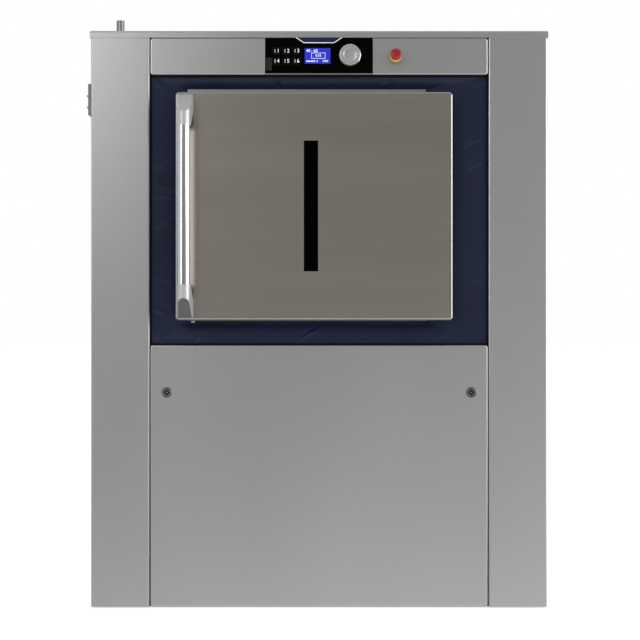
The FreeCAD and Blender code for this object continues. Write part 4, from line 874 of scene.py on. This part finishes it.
def makeKnob():
    k = knob
    r, shaft, skirt, face, bevel = k["radius"], k["shaft"], k["skirt"], k["face"], k["bevel"]
    cap, edge = r - k["step"], k["round"]
    profile = [(0, k["shaftEnd"]), (shaft, k["shaftEnd"]), (shaft, skirt), (r - bevel, skirt),
               (r, skirt - bevel), (r, face + k["stepAt"][0]), (cap, face + k["stepAt"][1]),
               (cap, face + edge)]
    for step in range(1, k["roundSteps"] + 1):
        turn = math.pi / 2 * step / k["roundSteps"]
        profile.append((cap - edge * (1 - math.cos(turn)), face + edge * (1 - math.sin(turn))))
    profile += [(k["dish"] + out, face + down) for out, down in k["lip"]]
    profile += [(k["dish"] * s, face + k["sink"] - k["bowl"] * s ** 4) for s in k["bowlSteps"]]
    profile.append((0, face + k["sink"]))
    bm = bmesh.new()
    turnProfile(bm, profile, k["at"], "y", k["sides"])
    addPiece("turned_jog_knob", bm, "knobSilver", "jog_knob", ["jog_knob"])


# edges are given as radius and distance behind the face or the back they belong to
stop = {
    "at": (203, 0, 1464), "sides": 72, "panel": -480, "collarFace": -488,
    "collarEdge": [(15, 3), (14.4, 1.2), (12.8, 0), (10, 0), (8.6, 1.4)],
    "stem": 6, "stemEnd": -455, "headBack": -502, "headFace": -518,
    "underside": [(6, 1), (10, 0), (13.8, 0), (15, -1.2)],
    "dome": [(15, 6), (14.7, 4.4), (13.9, 2.9), (12.6, 1.8), (10.8, 1.0), (8, 0.4), (4, 0.1), (0, 0)],
}


def makeStop():
    s = stop
    rim, bore = s["collarEdge"][0][0], s["collarEdge"][-1][0]
    profile = [(bore, s["panel"]), (rim, s["panel"])]
    profile += [(r, s["collarFace"] + d) for r, d in s["collarEdge"]] + [(bore, s["panel"])]
    bm = bmesh.new()
    turnProfile(bm, profile, s["at"], "y", s["sides"])
    addPiece("stop_ring", bm, "collarYellow", "cabinet", ["stop_collar"])
    profile = [(0, s["stemEnd"]), (s["stem"], s["stemEnd"])]
    profile += [(r, s["headBack"] + d) for r, d in s["underside"]]
    profile += [(r, s["headFace"] + d) for r, d in s["dome"]]
    bm = bmesh.new()
    turnProfile(bm, profile, s["at"], "y", s["sides"])
    addPiece("stop_mushroom", bm, "stopRed", "stop_head", ["stop_head"])


lock = {
    "at": 404, "level": 572, "panel": -480, "sunk": 0.1, "face": -483, "sides": 56,
    "ring": 14, "ringEdge": (1.6, 1.4), "well": 9.6, "wellEdge": 0.8, "floor": -480.8,
    "shank": 14, "shankBevel": 0.8,
    "camFace": -454.5, "camBack": -450.5, "camLength": 54, "camWide": 16, "camBevel": 1,
    "insert": 11.16, "insertDepth": (-1.2, 0.4), "insertBevel": 0.5,
    "pin": 2.2, "pinTall": 1.9, "pinEdge": 0.5, "pinSides": 24,
}


def makeLocks():
    q = lock
    face, ring, well, edge, floor = q["face"], q["ring"], q["well"], q["wellEdge"], q["floor"]
    inward, behind = q["ringEdge"]
    case = [(0, q["panel"] + q["sunk"]), (ring, q["panel"]), (ring, face + behind),
            (ring - inward, face), (well + edge, face), (well, face + edge), (well, floor), (0, floor)]
    pin, tip, soft = q["pin"], floor - q["pinTall"], q["pinEdge"]
    pinProfile = [(0, floor), (pin, floor), (pin, tip + soft), (pin - soft, tip), (0, tip)]
    shank, cam, insert = q["shank"] / 2, q["camWide"] / 2, q["insert"] / 2
    near, far = (floor + d for d in q["insertDepth"])
    for way, name in ((-1, "left"), (1, "right")):
        x, z = way * q["at"], q["level"]
        bm = bmesh.new()
        turnProfile(bm, case, (x, 0, z), "y", q["sides"])
        blockAt(bm, (x - shank, q["panel"], z - shank), (x + shank, q["camBack"], z + shank),
                q["shankBevel"])
        x0, x1 = sorted((x + way * q["camLength"], x - way * cam))
        blockAt(bm, (x0, q["camFace"], z - cam), (x1, q["camBack"], z + cam), q["camBevel"])
        addPiece(f"lock_{name}_case", bm, "lockDark", f"lock_{name}", [f"panel_lock_{name}"])
        bm = bmesh.new()
        blockAt(bm, (-insert, near, -insert), (insert, far, insert), q["insertBevel"])
        eighth = Matrix.Rotation(math.pi / 4, 3, "Y")
        bmesh.ops.rotate(bm, verts=bm.verts, cent=(0, 0, 0), matrix=eighth)
        bmesh.ops.translate(bm, verts=bm.verts, vec=(x, 0, z))
        addPiece(f"lock_{name}_insert", bm, "lockBlack", f"lock_{name}", ())
        bm = bmesh.new()
        turnProfile(bm, pinProfile, (x, 0, z), "y", q["pinSides"])
        addPiece(f"lock_{name}_pin", bm, "pinSteel", f"lock_{name}", ())


makeKnob()
makeStop()
makeLocks()
print("knob, stop and locks turned")

fascia = {
    "face": -485, "print": 0.15, "sunk": 0.2, "capShare": 0.69,  # height of a figure in its font size
    "crest": [(-61, 1513), (-40, 1499), (40, 1499), (61, 1513)], "line": 1.8,
    "cover": (-140.5, -125, 1425.5, 1459.5, 1.5), "coverThick": 0.7,
    "rim": (-143, 143, 1418, 1513), "rimWide": 1.6, "rimDepth": (0.6, 5.2), "rimBevel": 0.4,
    "keys": [(x, z) for z in (1477.5, 1450.5) for x in (-113.5, -87, -60.5)],
    "digit": 9.6, "digitShift": 5.4, "markShift": -1.8, "markBow": (1.6, 4.4), "markWide": 1.1,
    "markTurns": range(-75, 76, 30),
}


def flatPlate(bm, points, face, thick):
    near = ringOf(bm, [(x, face - thick, z) for x, z in points])
    far = ringOf(bm, [(x, face + fascia["sunk"], z) for x, z in points])
    skinRings(bm, [near, far])
    bm.faces.new(near)
    bm.faces.new(far)


def bandAlong(bm, points, wide, face, thick):
    for (x0, z0), (x1, z1) in zip(points, points[1:]):
        length = math.hypot(x1 - x0, z1 - z0)
        nx, nz = -(z1 - z0) / length * wide / 2, (x1 - x0) / length * wide / 2
        corners = [(x0 + nx, z0 + nz), (x1 + nx, z1 + nz), (x1 - nx, z1 - nz), (x0 - nx, z0 - nz)]
        flatPlate(bm, corners, face, thick)


def printText(name, words, tall, x, z, face, look, body):
    curve = bpy.data.curves.new(name, "FONT")
    curve.body = words
    curve.size = tall * mm / fascia["capShare"]
    curve.extrude = fascia["print"] * mm
    curve.align_x, curve.align_y = "CENTER", "CENTER"
    draft = bpy.data.objects.new(name + "Draft", curve)
    scene.collection.objects.link(draft)
    bpy.context.view_layer.update()
    mesh = bpy.data.meshes.new_from_object(draft)
    bpy.data.objects.remove(draft)
    upright = Matrix.Rotation(math.pi / 2, 4, "X")
    mesh.transform(Matrix.Translation((x * mm, face * mm, z * mm)) @ upright)
    mesh.materials.clear()
    mesh.materials.append(finish[look])
    piece = bpy.data.objects.new(name, mesh)
    scene.collection.objects.link(piece)
    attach(piece, body)


def makeFascia():
    face, thick = fascia["face"], fascia["print"]
    bm = bmesh.new()
    flatPlate(bm, fascia["crest"], face, thick)
    addPiece("fascia_crest", bm, "printNavy", "cabinet", ())
    bm = bmesh.new()
    bandAlong(bm, fascia["crest"], fascia["line"], face, thick * 2)
    addPiece("fascia_crest_line", bm, "printWhite", "cabinet", ())
    bm = bmesh.new()
    flatPlate(bm, roundedLoop(*fascia["cover"]), face, fascia["coverThick"])
    addPiece("fascia_port_cover", bm, "coverGrey", "cabinet", ())
    bm = bmesh.new()
    x0, x1, z0, z1 = fascia["rim"]
    wide, (near, far) = fascia["rimWide"], (face + d for d in fascia["rimDepth"])
    for left, right, low, high in ((x0 - wide, x0, z0 - wide, z1), (x1, x1 + wide, z0 - wide, z1),
                                   (x0, x1, z0 - wide, z0)):
        blockAt(bm, (left, near, low), (right, far, high), fascia["rimBevel"])
    addPiece("fascia_rim", bm, "frameSteel", "cabinet", ())
    bow, rise = fascia["markBow"]
    turns = [math.radians(t) for t in fascia["markTurns"]]
    for number, (x, z) in enumerate(fascia["keys"], start=1):
        printText(f"key_{number}_digit", str(number), fascia["digit"], x + fascia["digitShift"], z, face,
                  "printWhite", f"key_{number}")
        bm = bmesh.new()
        arc = [(x + fascia["markShift"] - bow * math.cos(a), z + rise * math.sin(a)) for a in turns]
        bandAlong(bm, arc, fascia["markWide"], face, thick)
        addPiece(f"key_{number}_mark", bm, "printWhite", f"key_{number}", ())


# each line of figures: its name, the words, their height and their centre (x, z)
display = {
    "face": -485, "print": 0.15,
    "lines": [("heading", "40 : 60", 7.6, -18.8, 1477.5), ("count", "0:35", 6.2, -1.8, 1464.9),
              ("left", "12", 4.6, -5.8, 1450.1), ("right", "1000", 5.4, 16.2, 1450.3)],
    "box": (-19.8, 16.2, 1457.5, 1472), "boxLine": 0.9,
    "ticks": [(-33.8 + 4 * k, -31.2 + 4 * k) for k in range(6)], "tickLevel": 1450.1, "tickTall": 3.4,
}


def makeDisplay():
    d = display
    for name, words, tall, x, z in d["lines"]:
        printText(f"display_{name}", words, tall, x, z, d["face"], "displayWhite", "cabinet")
    bm = bmesh.new()
    x0, x1, z0, z1 = d["box"]
    corners = [(x0, z0), (x1, z0), (x1, z1), (x0, z1), (x0, z0)]
    bandAlong(bm, corners, d["boxLine"], d["face"], d["print"])
    for start, end in d["ticks"]:
        tick = [(start, d["tickLevel"]), (end, d["tickLevel"])]
        bandAlong(bm, tick, d["tickTall"], d["face"], d["print"])
    addPiece("display_frame", bm, "displayWhite", "cabinet", ())


makeFascia()
makeDisplay()
print("fascia printed")

screws = {
    "height": 2.2, "sides": 24,
    # outline of a head with its socket: radius, and share of the height
    "head": [(0, 0), (5, 0), (5, 0.3), (4.5, 0.62), (3.5, 0.88), (2.3, 1), (2.0, 1), (1.8, 0.4),
             (0, 0.4)],
    "cap": [(-489, -400), (489, -400), (-489, 400), (489, 400)],
    "sideX": 605, "side": [(y, z) for y in (-392, 392) for z in (90, 430, 770, 1110, 1450)],
    "rearY": 480, "rear": [(x, z) for x in (-420, 0, 420) for z in (40, 660)]
    + [(x, 1464) for x in (-400, -140, 140, 400)],
}


def addScrew(bm, spot, axis, seat, way=1):
    profile = [(radius, seat + share * screws["height"] * way) for radius, share in screws["head"]]
    turnProfile(bm, profile, spot, axis, screws["sides"])


def makeScrews():
    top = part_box("top_cap")[1].z / mm
    bm = bmesh.new()
    for x, y in screws["cap"]:
        addScrew(bm, (x, y, 0), "z", top)
    addPiece("cap_screws", bm, "pinSteel", "cabinet", ())
    bm = bmesh.new()
    for way in (-1, 1):
        for y, z in screws["side"]:
            addScrew(bm, (0, y, z), "x", way * screws["sideX"], way)
    addPiece("side_screws", bm, "pinSteel", "cabinet", ())
    bm = bmesh.new()
    for x, z in screws["rear"]:
        addScrew(bm, (x, 0, z), "y", screws["rearY"])
    addPiece("rear_screws", bm, "pinSteel", "cabinet", ())


makeScrews()
print("screws set")

ground = {"x": (-30, 30), "y": (-30, 40), "level": -0.0005,
          "look": ((226, 226, 225), (232, 232, 231), (0.6, 0.7), (8, 8, 8), 0.02,
                   {"Emission Color": (1, 1, 1, 1), "Emission Strength": 0.66})}


def makeFloor():
    (x0, x1), (y0, y1), z = ground["x"], ground["y"], ground["level"]
    bm = bmesh.new()
    bm.faces.new(ringOf(bm, [(x0, y0, z), (x1, y0, z), (x1, y1, z), (x0, y1, z)]))
    mesh = bpy.data.meshes.new("studioFloor")
    bm.to_mesh(mesh)
    bm.free()
    floor = bpy.data.objects.new("studioFloor", mesh)
    scene.collection.objects.link(floor)
    floor.visible_glossy = False  # the steel mirrors the studio's even lower half
    mesh.materials.append(makeFinish("paleFloor", ground["look"]))
    floor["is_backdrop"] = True


makeFloor()
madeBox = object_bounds()
for name, box in (("cad", cadBox), ("visual", madeBox)):
    print(name, "box", [round(c, 4) for v in box for c in v])
